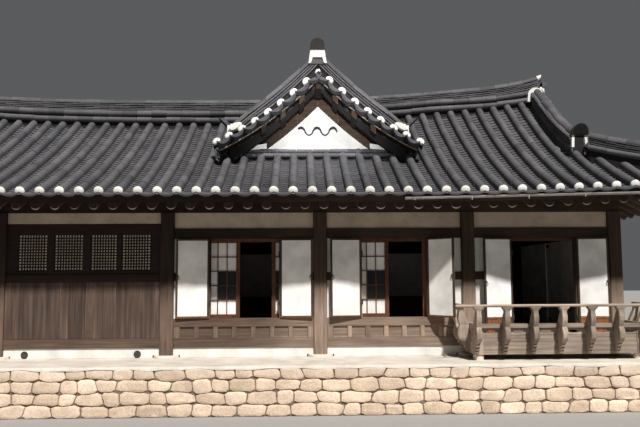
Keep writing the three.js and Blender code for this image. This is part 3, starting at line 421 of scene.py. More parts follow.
# A darker copy of the orange timber: painted shade for the sliding doors, head tracks and leaf bottoms that
# stand in shade.
ORANGE_TIMBER_PAINTED_SHADE = wood("dark_orange_timber_painted_shade", (0.055, 0.019, 0.008), (0.165, 0.062, 0.024), 2, rough=0.6)
END_GRAIN = surface(
    "sawn_ends",
    between((0.024, 0.016, 0.012), (0.080, 0.054, 0.040)),
    greys(0.8, 1.2),
    fine=70,
)
RIM_HIGHLIGHT_GRAIN = surface(
    "rafter_end_painted_highlight",
    between((0.38, 0.30, 0.24), (0.62, 0.52, 0.44)),
    greys(0.6, 1.2),
    fine=70,
)
PLANKS = surface(
    "weathered_planks",
    [(0.22, (0.025, 0.017, 0.013)), (0.5, (0.066, 0.044, 0.034)), (0.80, (0.150, 0.108, 0.086))],
    [(0.0, (0.68, 0.67, 0.66)), (0.5, WHITE), (1.0, (1.34, 1.30, 1.26))],
    patches=[(7, 0.66, 0.74, (0.030, 0.018, 0.012), 0.75)],
    grain=(1.0, 1.0, 0.045),
    fine=17,
    bumps=(0.5, 0.004),
    coarse=1.3,
)
PAPER = surface(
    "door_paper",
    between((0.80, 0.79, 0.76), (0.88, 0.87, 0.85)),
    [(0.0, (0.95, 0.95, 0.94)), (1.0, WHITE)],
    patches=[(40, 0.74, 0.82, (0.45, 0.40, 0.33), 0.25)],
    fine=120,
    bumps=(0.12, 0.001),
)
AGED_PAPER = surface(
    "aged_paper",
    between((0.62, 0.50, 0.38), (0.82, 0.70, 0.56)),
    greys(0.92, 1.0),
    fine=60,
)
IRON = surface(
    "forged_iron",
    between((0.020, 0.019, 0.018), (0.060, 0.050, 0.042)),
    greys(1.0, 1.0),
    fine=90,
    rough=0.5,
)
TIN = surface(
    "weathered_tin",
    between((0.25, 0.235, 0.215), (0.42, 0.40, 0.37)),
    greys(0.9, 1.1),
    patches=[(8, 0.56, 0.68, (0.14, 0.075, 0.04), 0.8)],
    fine=40,
    rough=0.5,
)
# Near-black glass: painted shade of the dark room behind the panes.
GLASS_PAINTED_DARK = surface(
    "window_glass_painted_dark",
    between((0.012, 0.013, 0.016), (0.018, 0.019, 0.022)),
    greys(1.0, 1.1),
    fine=6,
    rough=0.08,
    bumps=(0.05, 0.001),
)
STONE = surface(
    "rough_podium_stone",
    [(0.22, (0.480, 0.355, 0.255)), (0.5, (0.700, 0.560, 0.430)), (0.8, (0.800, 0.690, 0.570))],
    [(0.0, (0.80, 0.77, 0.74)), (0.5, (1.0, 0.98, 0.96)), (1.0, (1.10, 1.10, 1.10))],
    patches=[(11, 0.58, 0.76, (0.33, 0.25, 0.18), 0.5), (5, 0.60, 0.75, (0.62, 0.37, 0.23), 0.35)],
    fine=34,
    bumps=(0.7, 0.008),
    washed=(-0.15, 0.01, (0.64, 0.56, 0.48)),
)
LIME_TOP = surface(
    "podium_lime_top",
    between((0.56, 0.50, 0.44), (0.70, 0.65, 0.58)),
    [(0.0, (0.92, 0.90, 0.87)), (1.0, WHITE)],
    patches=[(6, 0.56, 0.74, (0.46, 0.38, 0.30), 0.45)],
    fine=40,
)
MORTAR_JOINT = surface(
    "podium_mortar_joints",
    between((0.10, 0.075, 0.055), (0.24, 0.18, 0.135)),
    greys(0.9, 1.1),
    fine=40,
)


# Roof surfaces, as heights over the plan

def slope_height(back, along, end):
    """A slope's height: back counts from its eave, along from its nearer corner, end from the house's end."""
    share = (back / HALF_DEPTH) ** 2
    profile = SLOPE_RISE * back + SLOPE_CURVE * back * back
    eave_lift = EAVE_LIFT * np.maximum(0, 1 - along / EAVE_LIFT_REACH) ** 3
    ridge_lift = RIDGE_LIFT * (np.maximum(0, HALF_LENGTH - end) / RIDGE_LIFT_REACH) ** 2.4
    return GROUND + EAVE_HEIGHT + profile + eave_lift * (1 - share) + ridge_lift * share


def long_slope(side):
    """The front or rear slope: points over a place along the eave and a distance behind it."""
    def point(across, back):
        end = HALF_LENGTH - np.abs(across - MIDDLE_X)
        y = MIDDLE_Y + side * (HALF_DEPTH - back)
        return np.stack([across + 0 * back, y + 0 * across, slope_height(back, end, end)], axis=-1)

    def limit(across):
        end = HALF_LENGTH - np.abs(across - MIDDLE_X)
        return np.where(end < DESCENT_INSET - 0.10, end, HALF_DEPTH)
    return point, limit


def end_slope(side):
    """The slope at one end: points over a place along its eave and a distance behind it."""
    def point(across, back):
        along = HALF_DEPTH - np.abs(across - MIDDLE_Y)
        x = MIDDLE_X + side * (HALF_LENGTH - back)
        return np.stack([x + 0 * across, across + 0 * back, slope_height(back, along, back)], axis=-1)

    def limit(across):
        return np.minimum(HALF_DEPTH - np.abs(across - MIDDLE_Y), SIDE_GABLE_INSET)
    return point, limit


def gable_height(x, y):
    """Height of the cross gable's slopes over a place in plan."""
    run = (MIDDLE_Y - y) / (MIDDLE_Y - GABLE_VERGE)
    offset = np.abs(x)
    ridge = GROUND + GABLE_RIDGE_HEIGHT + GABLE_RIDGE_LIFT * run * run
    return ridge - GABLE_FALL * offset + GABLE_CURVE * offset * offset


def lifted(point, across, back, rise):
    """A point raised from the slope along its normal."""
    step = 0.01
    here = point(across, back)
    along = point(across + step, back) - point(across - step, back)
    up_slope = point(across, back + step) - point(across, back - step)
    normal = unit(np.cross(along, up_slope))
    normal *= np.sign(normal[..., 2:3])
    return here + normal * np.asarray(rise)[..., None]


PITCH = 0.30
TILE_STEP = 0.10
MALE_RADIUS = 0.069
CAP_RADIUS, CAP_BULGE = 0.077, 0.022
MALE_LENGTH = 0.345
MALE_CENTRE = -0.036
SAG = 0.075


def female_row(shape, point, limit, centre, start, pitch, tone):
    """One row of overlapping concave tiles, from the eave up to its limit."""
    half = pitch / 2 - 0.012
    across = np.linspace(-half, half, 7)
    sag = MALE_CENTRE - SAG * (1 - (across / (pitch / 2)) ** 2)
    ends = limit(centre + across)
    top = ends.max()
    if top - start < 0.05:
        return
    count = max(1, round((top - start) / TILE_STEP))
    backs, rises = [start + 0.12, start], [-0.022, -0.014]
    edges = start + (top - start) * np.arange(count + 1) / count
    for low, high in zip(edges[:-1], edges[1:]):
        tilt = rng.uniform(-0.002, 0.002)
        backs += [low, high]
        rises += [0.018 + tilt, 0.0]
    backs, rises = np.array(backs)[:, None], np.array(rises)[:, None]
    limited = np.minimum(backs, ends[None, :])
    points = lifted(point, centre + across[None, :] + 0 * backs, limited, sag[None, :] + rises)
    quads = grid_quads(len(backs), 7)
    tones = np.repeat(np.clip(tone + rng.normal(0, 0.13, len(backs) // 2 + 1), 0, 1), 2)[:len(backs) - 1]
    shape.add(points.reshape(-1, 3), quads, 0.5, facing=(0, 0, 1))
    kept = len(shape.tones[-1])
    shape.tones[-1] = np.repeat(tones, 6)[:kept] if kept == len(quads) else np.full(kept, tone)


def male_row(shape, caps, point, limit, centre, start, tone, length=MALE_LENGTH, squeeze=1.0):
    """One row of round cover tiles with a little lip at each joint, and a lime cap on its eave end."""
    top = float(limit(np.array([centre]))[0])
    if top - start < 0.12:
        return
    count = max(1, round((top - start) / length))
    edges = start + (top - start) * np.arange(count + 1) / count
    angles = arc(0, 180, 9)
    across = np.concatenate([[1.0], np.cos(angles), [-1.0]])
    rise = np.concatenate([[-0.65], np.sin(angles), [-0.65]])
    sections = []
    for low, high in zip(edges[:-1], edges[1:]):
        shift, drop = rng.uniform(-0.004, 0.004), rng.uniform(-0.003, 0.003)
        for back, size in ((low, 1.025), (high, 0.965)):
            offsets = across * MALE_RADIUS * size * squeeze + shift
            sections.append((back, offsets, rise * MALE_RADIUS * size + MALE_CENTRE + drop))
    backs = np.array([s[0] for s in sections])[:, None]
    offsets = np.stack([s[1] for s in sections])
    rises = np.stack([s[2] for s in sections])
    points = lifted(point, centre + offsets, backs + 0 * offsets, rises)
    shape.add(points.reshape(-1, 3), grid_quads(len(backs), len(across)), 0.5, facing=(0, 0, 1))
    tones = np.repeat(np.clip(tone + rng.normal(0, 0.16, count), 0, 1), 2)[:len(backs) - 1]
    if len(shape.tones[-1]) == len(tones) * (len(across) - 1):
        shape.tones[-1] = np.repeat(tones, len(across) - 1)
    if caps is not None:
        cap(caps, point, centre, start, squeeze)


def cap(caps, point, centre, back, squeeze):
    """A slightly domed lime disc with a flat foot that closes the end of a cover row."""
    angles = full_turn(16)
    up = np.maximum(np.sin(angles), -0.60)
    rings = []
    for size, out in ((0.90, -0.03), (1.0, -0.004), (0.93, 0.008), (0.62, CAP_BULGE * 0.8), (0.2, CAP_BULGE)):
        wobble = 1 + rng.normal(0, 0.018, 16)
        reach = CAP_RADIUS * size * wobble
        across, rise = centre + np.cos(angles) * reach * squeeze, MALE_CENTRE + up * reach
        rings.append(lifted(point, across, np.full(16, back - out), rise))
    caps.add(*loft(np.stack(rings)))


def lip(shape, point, centre, back, pitch, thick, tone, low=-0.068, high=-0.034):
    """The hanging edge of an eave's concave tile: a scallop that rises to a peak under each cover row."""
    across = np.linspace(-pitch / 2, pitch / 2, 13)
    top = low + (high - low) * np.abs(across / (pitch / 2)) ** 2.2
    rows = ((0.03, top + 0.004), (-0.034, top), (-0.038, top - thick), (0.03, top - thick))
    sections = [lifted(point, centre + across, back + depth + 0 * across, rise) for depth, rise in rows]
    shape.add(*loft(np.stack(sections, axis=1)), tone=tone)


def tiled_slope(name, point, limit, low, high):
    """Tiles over one slope, between two places along its eave."""
    tiles, caps = Shape(), Shape()
    first = math.ceil((low - PITCH / 2) / PITCH)
    last = math.floor((high - PITCH / 2) / PITCH)
    for k in range(first, last + 1):
        male_row(tiles, caps, point, limit, PITCH / 2 + PITCH * k, 0.0, 0.5 + rng.normal(0, 0.08))
    for k in range(first - 1, last + 1):
        centre = PITCH + PITCH * k
        if low <= centre - 0.10 and centre + 0.10 <= high:
            female_row(tiles, point, limit, centre, -0.02, PITCH, 0.42 + rng.normal(0, 0.06))
            lip(tiles, point, centre, -0.004, PITCH, 0.026, 0.30 + rng.normal(0, 0.06))
    tiles.build(name + "_tiles", TILE, "tile", replaces=(name,), smooth=38)
    caps.build(name + "_caps", LIME, "plaster", smooth=50)


SLOPES = [
    ("front_roof", long_slope(-1), MIDDLE_X, HALF_LENGTH, HALF_DEPTH),
    ("rear_roof", long_slope(1), MIDDLE_X, HALF_LENGTH, HALF_DEPTH),
    ("left_hip_roof", end_slope(-1), MIDDLE_Y, HALF_DEPTH, SIDE_GABLE_INSET),
    ("right_hip_roof", end_slope(1), MIDDLE_Y, HALF_DEPTH, SIDE_GABLE_INSET),
]
for slope_name, slope, middle, half, _ in SLOPES:
    tiled_slope(slope_name, *slope, middle - half + 0.08, middle + half - 0.08)


# Eave boards, soffits and rafters

def sheet(shape, point, limit, across, backs, top, bottom):
    """Boards that follow a slope between two heights under its tiles, cut off at the slope's limit."""
    across, backs = across[None, :], backs[:, None]
    limited = np.minimum(backs + 0 * across, limit(across) + 0 * backs)
    for offset, facing in ((top, (0, 0, 1)), (bottom, (0, 0, -1))):
        points = point(across + 0 * backs, limited) + array(0, 0, offset)
        shape.add(points.reshape(-1, 3), grid_quads(len(backs), across.shape[1]), 0.4, facing=facing)


def strip(shape, at, places, near, far, top, bottom, tone=None):
    """A strip between two depths and two heights, laid out by a function of depth, places and rise."""
    corners = ((near, top), (far, top), (far, bottom), (near, bottom))
    shape.add(*loft(np.stack([at(depth, places, rise) for depth, rise in corners], axis=1)), tone=tone)


def eave_board(shape, point, limit, across, back, low, high):
    """A board on edge along the eave."""
    behind = back + 0.035
    rows = [(back, low), (back, high), (behind, high), (behind, low)]
    sections = np.stack([
        point(across, np.minimum(depth, limit(across))) + array(0, 0, rise) for depth, rise in rows
    ], axis=1)
    shape.add(*loft(sections), tone=0.45)


RAFTER_DROP = -0.2973


def rafter_rows(shape, ends, worn, point, middle, half):
    """Round rafters square to the eave, their sawn ends, and a pale crescent on the lower edge of each end as
    a painted highlight.
    """
    count = math.floor((half - 0.5) / PITCH)
    angles = full_turn(16)
    for k in range(-count, count + 1):
        offset = PITCH * k
        inner = min(1.225, half - abs(offset) - 0.23)
        start, finish = (
            (point(array(middle + offset), array(back)) + array(0, 0, RAFTER_DROP)).reshape(3)
            for back in (0.16, inner)
        )
        run = unit(finish - start)
        level, above = square_to(run)
        circle = spokes(angles, level, above)
        size = 0.079 * (1 + rng.normal(0, 0.03))
        length = np.linalg.norm(finish - start)
        stages = ((0.0, 0.94), (0.006, 1.0), (length * 0.5, 1.02), (length, 1.03))
        sections = np.stack([start + run * place + circle * size * factor for place, factor in stages])
        shape.add(*loft(sections))
        face = np.stack([start - run * 0.002 + circle * size * factor for factor in (0.90, 0.5, 0.12)])
        ends.add(*loft(face))
        # A pale crescent on each end's lower edge: painted highlight.
        lower = spokes(np.linspace(math.pi * 1.12, math.pi * 1.88, 9), level, above)
        width = 0.03 + 0.20 * np.sin(np.linspace(0, math.pi, 9))[:, None]
        rows = [start - run * 0.003 + lower * size * (0.93 - width * share) for share in (0, 1)]
        worn.add(np.concatenate(rows), grid_quads(2, 9), facing=-run)


def eave(name, point, limit, middle, half, deep):
    """The boards, rafters and rafter ends under one slope's eave."""
    boards, rafters, sawn, worn = Shape(), Shape(), Shape(), Shape()
    across = middle + np.linspace(-1, 1, 61) * (half - 0.11)
    sheet(boards, point, limit, across, np.linspace(0.10, deep, 12), -0.205, -0.235)
    eave_board(boards, point, limit, across, 0.10, -0.235, -0.110)
    rafter_rows(rafters, sawn, worn, point, middle, half)
    boards.build(name + "_eave_boards", TIMBER, "timber")
    rafters.build(name + "_rafters", TIMBER_ALONG_Y if half > 5 else TIMBER, "timber", smooth=40)
    sawn.build(name + "_rafter_ends", END_GRAIN, "timber", smooth=40)
    # worn holds the rafter ends' pale crescents, a painted highlight.
    worn.build(name + "_rafter_end_highlights", RIM_HIGHLIGHT_GRAIN, "timber")


for slope_name, slope, middle, half, deep in SLOPES:
    eave(slope_name, *slope, middle, half, deep)


def hip_place(side, front, back):
    """The place in plan of a corner's hip line at a distance in from both eaves."""
    return MIDDLE_X + side * (HALF_LENGTH - back), MIDDLE_Y + front * (HALF_DEPTH - back)


def hip_rafters():
    """The square rafters under the four corners, from the corner columns out to the eaves."""
    beams = Shape()
    for side in (-1, 1):
        for front in (-1, 1):
            sections = []
            for back, deep in ((0.13, 0.13), (0.16, 0.19), (0.7, 0.25), (1.40, 0.27)):
                corner = slope_height(back, back, back) - 0.21
                middle = array(*hip_place(side, front, back), corner)
                across = array(side, -front, 0) / math.sqrt(2) * 0.10
                left, right, drop = middle - across, middle + across, array(0, 0, deep)
                sections.append([left, right, right - drop, left - drop])
            beams.add(*loft(np.array(sections)))
    beams.build("hip_rafters", TIMBER, "timber", bevel=0.008)


hip_rafters()


# Ridges of stacked tiles

COURSE_GAP = 0.004


class Ridge:
    """Courses of tiles stacked along a path; heights count up from the slope at the path."""

    def __init__(self, path, length, top, half, tiles, core):
        self.path, self.length, self.top, self.half = path, length, top, half
        self.tiles, self.core = tiles, core

    def section(self, t, profile):
        """Points of a profile of (lateral, height) pairs, the heights measured down from the ridge's top."""
        t = np.asarray(t, dtype=float)
        run = self.path(t + 0.01) - self.path(t - 0.01)
        run[..., 2] = 0
        run = unit(run)
        lateral = np.stack([-run[..., 1], run[..., 0], 0 * run[..., 0]], axis=-1)
        profile = np.asarray(profile, dtype=float)
        rise = self.top(t) + profile[:, 1]
        return self.path(t) + lateral * profile[:, :1] + rise[:, None] * array(0, 0, 1)

    def course(self, profile, piece, shift=0.0, lip=0.0, lateral=0.0):
        """Separate pieces with one profile, laid end to end along the path."""
        profile = np.asarray(profile, dtype=float)
        count = max(2, round(self.length / piece))
        edges = np.linspace(0, self.length, count + 1) + shift * self.length / count
        edges = np.clip(np.concatenate([[0], edges]) if shift > 0 else edges, 0, self.length)
        middle = profile.mean(axis=0)
        for low, high in zip(edges[:-1], edges[1:]):
            if high - low < 0.03:
                continue
            jitter = rng.normal(0, 0.003, 2) + array(lateral, 0)
            ends = [
                self.section(low + COURSE_GAP / 2, middle + (profile - middle) * (1 + lip) + jitter),
                self.section(high - COURSE_GAP / 2, middle + (profile - middle) * (1 - lip) + jitter),
            ]
            self.tiles.add(*loft(np.stack(ends)))

    def stack(self, layers, band=False, pitch=0.0375, thick=0.021):
        """A round cover course, thin staggered layers and mortar inside, near-black as painted shade; returns
        the stack's depth.

        A band is one taller layer with rounded edges, under the cover course.
        """
        half = self.half
        self.course(half_round(0.082, -0.082, 8), 0.31, lip=0.02)
        depth = 0.085
        if band:
            for side in (-1, 1):
                self.course(half_round(0.036, -depth - 0.036, 6, side), 0.31, lateral=side * (half - 0.012))
            self.course(slab(half, -depth - 0.070, -depth), 0.31)
            depth += 0.090
        for k in range(layers):
            self.course(slab(half * 0.98, -depth - thick, -depth), 0.30, shift=0.5 * (k % 2))
            depth += pitch
        mortar = slab(half - 0.03, -depth - 0.45, -0.084)
        sections = [self.section(t, mortar) for t in np.linspace(0, self.length, 40)]
        self.core.add(*loft(np.stack(sections)), tone=0.0)
        return depth

    def side_rolls(self, depth, radius, offset):
        for side in (-1, 1):
            self.course(half_round(radius, -depth, 7, side), 0.30, lateral=side * offset, lip=0.02)


def build_ridges(name, tiles, core, lime=None):
    tiles.build(name + "_courses", TILE, "tile", replaces=(name,), smooth=38)
    core.build(name + "_core", MORTAR_PAINTED_SHADE, "tile")
    if lime:
        lime.build(name + "_lime", LIME, "plaster", smooth=45)


def slab(half, low, high):
    return [(-half, low), (-half, high), (0, high + 0.004), (half, high), (half, low), (0, low + 0.004)]


def half_round(radius, centre, steps, turned=0):
    """The outline of a round tile: open side down, or turned to lie on one side of the ridge."""
    angles = arc(0, 180, steps)
    if not turned:
        return np.stack([np.cos(angles) * radius, np.sin(angles) * radius + centre], axis=1)
    return np.stack([turned * np.sin(angles) * radius, np.cos(angles) * radius + centre], axis=1)


def end_tile(tiles, core, lime, place, facing, half, low, spring, arch, lean=0.12):
    """A dark round-headed tile that closes a ridge's end, over mortar between two strips of lime."""
    facing, foot = unit(array(*facing, 0)), array(*place, 0)
    level = np.cross(array(0, 0, 1), facing)
    inner_half, inner_arch = half * 0.9, arch * 0.90

    def body(shape, outline, back, front, tone=None, lean=0.0):
        ends = []
        for depth in (back, front):
            ends.append([
                foot + level * u + facing * (depth + lean * (v - spring)) + array(0, 0, v) for u, v in outline
            ])
        shape.add(*loft(np.array(ends)), tone=tone)

    mortar = [(half, low), (inner_half, spring), (-inner_half, spring), (-half, low)]
    body(core, mortar, -0.10, -0.012, tone=1.0)
    for side in (-1, 1):
        edge = [(half, low), (half * 0.92, spring), (half * 0.60, spring), (half * 0.68, low)]
        body(lime, [(side * u, v) for u, v in edge], -0.09, 0.004)
    angles = arc(0, 180, 14)
    head = [(math.cos(a) * arch, spring + 0.02 + math.sin(a) * arch) for a in angles]
    body(tiles, [(arch, spring - 0.02)] + head + [(-arch, spring - 0.02)], -0.04, 0.045, tone=0.0, lean=lean)
    # The head's inner face is drawn in the near-black mortar: painted shade on the face that leans down.
    inner = [(u * 0.90, spring + 0.006 + (v - spring) * 0.90) for u, v in head]
    inner = [(inner_arch, spring - 0.014)] + inner + [(-inner_arch, spring - 0.014)]
    body(core, inner, 0.02, 0.049, tone=0.0, lean=lean)


def slope_at(x, y):
    """Height of the main roof's slopes over a place in plan."""
    end = HALF_LENGTH - np.abs(x - MIDDLE_X)
    return slope_height(HALF_DEPTH - np.abs(y - MIDDLE_Y), end, end)


MAIN_REACH = HALF_LENGTH - DESCENT_INSET - 0.06
RIDGE_PLACES = (0.0, 3.0, 5.6, 6.95, 7.40, 7.77)
RIDGE_TOPS = (0.46, 0.45, 0.405, 0.370, 0.390, 0.435)
ROLL_SINK_FROM, ROLL_SINK_TO, ROLL_SINK = 5.2, 7.0, 0.085


def main_ridge():
    """The long ridge: its top dips and turns up towards each end, over two round courses on each side."""
    start = MIDDLE_X - MAIN_REACH

    def path(t):
        x = start + t
        return np.stack([x, MIDDLE_Y + 0 * t, slope_at(x, MIDDLE_Y)], axis=-1)

    def top(t):
        return np.interp(np.abs(t - MAIN_REACH), RIDGE_PLACES, RIDGE_TOPS)

    def foot(t):
        share = np.clip((np.abs(t - MAIN_REACH) - ROLL_SINK_FROM) / (ROLL_SINK_TO - ROLL_SINK_FROM), 0, 1)
        return 0.43 - ROLL_SINK * share * share * (3 - 2 * share)

    tiles, core = Shape(), Shape()
    Ridge(path, 2 * MAIN_REACH, top, 0.15, tiles, core).stack(6)
    base = Ridge(path, 2 * MAIN_REACH, foot, 0.15, tiles, core)
    base.side_rolls(0.290, 0.064, 0.112)
    base.side_rolls(0.432, 0.058, 0.142)
    build_ridges("main_ridge", tiles, core)


def end_ridges(name, side):
    """The ridges down both verges of one end, and the hip ridges that go on from them to the corners."""
    x = MIDDLE_X + side * (HALF_LENGTH - DESCENT_INSET - 0.10)
    low = HALF_DEPTH - DESCENT_INSET - 0.06
    shapes = tiles, core, lime = Shape(), Shape(), Shape()
    for front in (-1, 1):
        def verge_path(t, front=front):
            y = MIDDLE_Y + front * (low - t)
            return np.stack([x + 0 * t, y, slope_at(x, y)], axis=-1)

        def verge_top(t):
            return np.interp(t, (0, 0.5, 1.3, low), (0.385, 0.345, 0.320, 0.290))

        ridge = Ridge(verge_path, low - 0.02, verge_top, 0.13, tiles, core)
        ridge.side_rolls(ridge.stack(3, band=True) + 0.05, 0.050, 0.085)

        def hip_path(t, front=front):
            back = 0.07 + t / math.sqrt(2)
            return np.stack([*hip_place(side, front, back), slope_height(back, back, back)], axis=-1)

        def hip_top(t):
            back = 0.07 + t / math.sqrt(2)
            return 0.41 + 0.03 * (1 - back / DESCENT_INSET) ** 2

        ridge = Ridge(hip_path, (DESCENT_INSET - 0.15) * math.sqrt(2), hip_top, 0.12, tiles, core)
        ridge.side_rolls(ridge.stack(4) + 0.05, 0.055, 0.085)
        end_y = MIDDLE_Y + front * low
        foot = float(slope_at(x, end_y))
        place = (x + side * 0.03, end_y)
        end_tile(*shapes, place, (0, front), 0.150, foot + 0.10, foot + 0.345, arch=0.155, lean=0.40)
        *place, foot = hip_path(array(0.0)).reshape(3)
        end_tile(*shapes, place, (side, front), 0.12, foot - 0.02, foot + 0.32, arch=0.120)
    top = float(slope_at(x + side * 0.10, MIDDLE_Y))
    end_tile(*shapes, (x + side * 0.18, MIDDLE_Y), (side, 0), 0.11, top - 0.10, top + 0.16, arch=0.11)
    ridge_end_tip(tiles, lime, side, x + side * 0.10, top)
    build_ridges(name, *shapes)


def ridge_end_tip(tiles, lime, side, x, top):
    """The main ridge's upturned end with its lime plug and dark tip, and the lime collar under it."""
    angles = full_turn(12)

    def tube(shape, stages, tone=None):
        sections = []
        for reach, rise, size, tall in stages:
            place, height = x + side * reach, top + rise
            sections.append([
                (place, MIDDLE_Y + math.cos(a) * size, height + math.sin(a) * tall) for a in angles
            ])
        shape.add(*loft(np.array(sections)), tone=tone)

    plug = (
        (-0.055, 0.352, 0.076, 0.068), (-0.01, 0.372, 0.072, 0.064), (0.032, 0.400, 0.056, 0.050),
        (0.052, 0.430, 0.030, 0.030),
    )
    tip = (
        (-0.10, 0.250, 0.085, 0.018), (-0.02, 0.285, 0.080, 0.020), (0.035, 0.335, 0.065, 0.026),
        (0.055, 0.400, 0.042, 0.022), (0.064, 0.480, 0.008, 0.008),
    )
    tube(lime, plug)
    tube(tiles, tip, tone=0.0)
    turns = arc(-25, 180, 14)
    outer = [(math.cos(a) * 0.165, math.sin(a) * 0.170) for a in turns] + [(-0.180, -0.130)]
    inner = [(math.cos(a) * 0.075, math.sin(a) * 0.070) for a in turns] + [(-0.115, -0.140)]
    for front in (-1, 1):
        y = MIDDLE_Y + front * 0.20
        centre = array(x - side * 0.145, y, float(slope_at(x, y)) + 0.120)
        ring = []
        for shift in (-0.02, 0.09):
            ring.append([centre + array(side * u, front * -shift, v) for u, v in outer + inner[::-1]])
        lime.add(*loft(np.array(ring)))


main_ridge()
end_ridges("left_ridges", -1)
end_ridges("right_ridges", 1)


# Cross gable

GABLE_WALL = 0.87
GABLE_FOOT = 3.45
GABLE_REACH = 1.84
DESCENT_FRONT, DESCENT_LINE, DESCENT_REACH = 0.49, 0.59, 1.60
RIDGE_FRONT = 0.62
GABLE_BACK = MIDDLE_Y - 0.15


def gable_verge():
    """The short strip of tiles along the cross gable's verge, as a slope."""
    def point(across, back):
        y = GABLE_VERGE + back
        rise = 0.085 * np.maximum(0, (DESCENT_FRONT - y) / (DESCENT_FRONT - GABLE_VERGE))
        rise = rise - 0.05 * np.exp(-(across / 0.12) ** 2)
        return np.stack([across + 0 * back, y + 0 * across, gable_height(across, y) + rise], axis=-1)

    def limit(across):
        return 0.24 + 0 * across
    return point, limit


def gable_slope(side):
    """One slope of the cross gable: places along it are depths, and back counts in from its edge."""
    def point(across, back):
        x = side * (GABLE_REACH - back)
        return np.stack([x + 0 * across, across + 0 * back, gable_height(x, across)], axis=-1)

    def limit(across):
        return GABLE_REACH - 0.06 + 0 * across
    return point, limit


def valley(side, y):
    """How far in from the gable's edge its slope comes out of the main roof."""
    backs = np.linspace(0, GABLE_REACH, 400)
    x = side * (GABLE_REACH - backs)
    above = gable_height(x, y) > slope_at(x, y) - 0.05
    return float(backs[np.argmax(above)])


def gable_roof():
    """The cross gable's tiles: short rows along its verge and long rows down its two slopes."""
    tiles, caps = Shape(), Shape()
    verge, verge_limit = gable_verge()
    spacing, pitch = 0.229, 0.27
    for k in range(-8, 9):
        x = spacing * k - (0.014 if -8 < k < 8 else 0)
        slope = abs(GABLE_FALL - 2 * GABLE_CURVE * abs(x))
        squeeze = 1 / math.hypot(1, slope)
        male_row(tiles, caps, verge, verge_limit, x, 0.0, 0.45, length=0.24, squeeze=squeeze)
    for k in range(-8, 8):
        female_row(tiles, verge, verge_limit, spacing * (k + 0.5), -0.01, spacing, 0.4)
        lip(tiles, verge, spacing * (k + 0.5), 0.002, spacing, 0.046, 0.0, -0.150, -0.050)
    for side in (-1, 1):
        point, limit = gable_slope(side)
        for y in np.arange(0.79, GABLE_BACK, pitch):
            male_row(tiles, None, point, limit, y, valley(side, y), 0.5)
            middle = y - pitch / 2
            female_row(tiles, point, limit, middle, valley(side, middle), pitch, 0.42)
    tiles.build("gable_roof_tiles", TILE, "tile", replaces=("gable_roof",), smooth=38)
    caps.build("gable_roof_caps", LIME, "plaster", smooth=50)


def gable_ridges():
    """The cross gable's ridge, the two ridges down its verge, and its finial."""
    tiles, core, lime = Shape(), Shape(), Shape()

    def path(t):
        y = RIDGE_FRONT + t
        return np.stack([0 * t, y, gable_height(0 * t, y)], axis=-1)

    ridge = Ridge(path, GABLE_BACK - RIDGE_FRONT, lambda t: 0.40 + 0 * t, 0.14, tiles, core)
    ridge.side_rolls(ridge.stack(4) + 0.052, 0.058, 0.095)
    for side in (-1, 1):
        def descent(t, side=side):
            x = side * (DESCENT_REACH - t)
            return np.stack([x, DESCENT_LINE + 0 * t, gable_height(x, DESCENT_LINE)], axis=-1)

        def descent_top(t):
            share = np.clip(t, 0, DESCENT_REACH) / DESCENT_REACH
            return 0.42 + 0.13 * share ** 0.7 - 0.06 * np.maximum(0, 1 - t / 0.3)

        ridge = Ridge(descent, DESCENT_REACH - 0.005, descent_top, 0.10, tiles, core)
        ridge.stack(4, pitch=0.058, thick=0.034)
        low = float(gable_height(DESCENT_REACH, DESCENT_LINE))
        place = (side * (DESCENT_REACH + 0.06), DESCENT_LINE)
        end_tile(tiles, core, lime, place, (side, -0.15), 0.10, low + 0.02, low + 0.36, arch=0.10, lean=0.95)
        lump = array(side * 1.505, DESCENT_FRONT - 0.02, low + 0.295)
        angles = full_turn(12)
        rings = []
        for size, out in ((0.8, 0.08), (1.15, 0.03), (1.1, -0.025), (0.75, -0.045)):
            rings.append([lump + array(
                math.cos(a) * 0.112 * size,
                out,
                math.sin(a) * 0.064 * size - side * math.cos(a) * 0.045,
            ) for a in angles])
        lime.add(*loft(np.array(rings)))
    finial(core, lime)
    build_ridges("gable_ridge", tiles, core, lime)


def finial(core, lime):
    """The tall dark end tile over the front of the cross gable, on a block of lime with two legs."""
    x, front, lift = -0.012, 0.465, 0.02

    def slice_of(shape, outline, back, near=0.0, tone=None):
        shape.prism([(x + u, front + near, GROUND + lift + z) for u, z in outline], (0, back, 0), tone)

    turns = arc(0, 180, 14)
    head = [(math.cos(a) * 0.133, 5.548 + math.sin(a) * 0.133) for a in turns]
    slice_of(core, [(0.130, 5.44)] + head + [(-0.130, 5.44)], 0.15, tone=0.20)
    slice_of(lime, [(0.150, 5.315), (0.132, 5.445), (-0.132, 5.445), (-0.150, 5.315)], 0.20, -0.012)
    for side in (-1, 1):
        leg = [(0.166, 5.205), (0.149, 5.316), (0.088, 5.316), (0.118, 5.215)]
        slice_of(lime, [(side * u, z) for u, z in leg], 0.20, -0.010)
    slice_of(core, [(0.12, 5.20), (0.10, 5.32), (-0.10, 5.32), (-0.12, 5.20)], 0.10, 0.012, tone=0.9)
    slice_of(lime, [(0.11, 5.30), (0.06, 5.62), (-0.06, 5.62), (-0.11, 5.30)], 0.16, 0.145)


def at_cross_gable(y, xs, rise):
    xs = np.asarray(xs, dtype=float)
    return np.stack([xs, y + 0 * xs, gable_height(xs, y) + rise], axis=-1)


def hung(shape, xs, front, back, top, deep, tone=None):
    """A board under the cross gable's verge, at a height under its tiles."""
    strip(shape, at_cross_gable, xs, front, back, top, top - deep, tone)


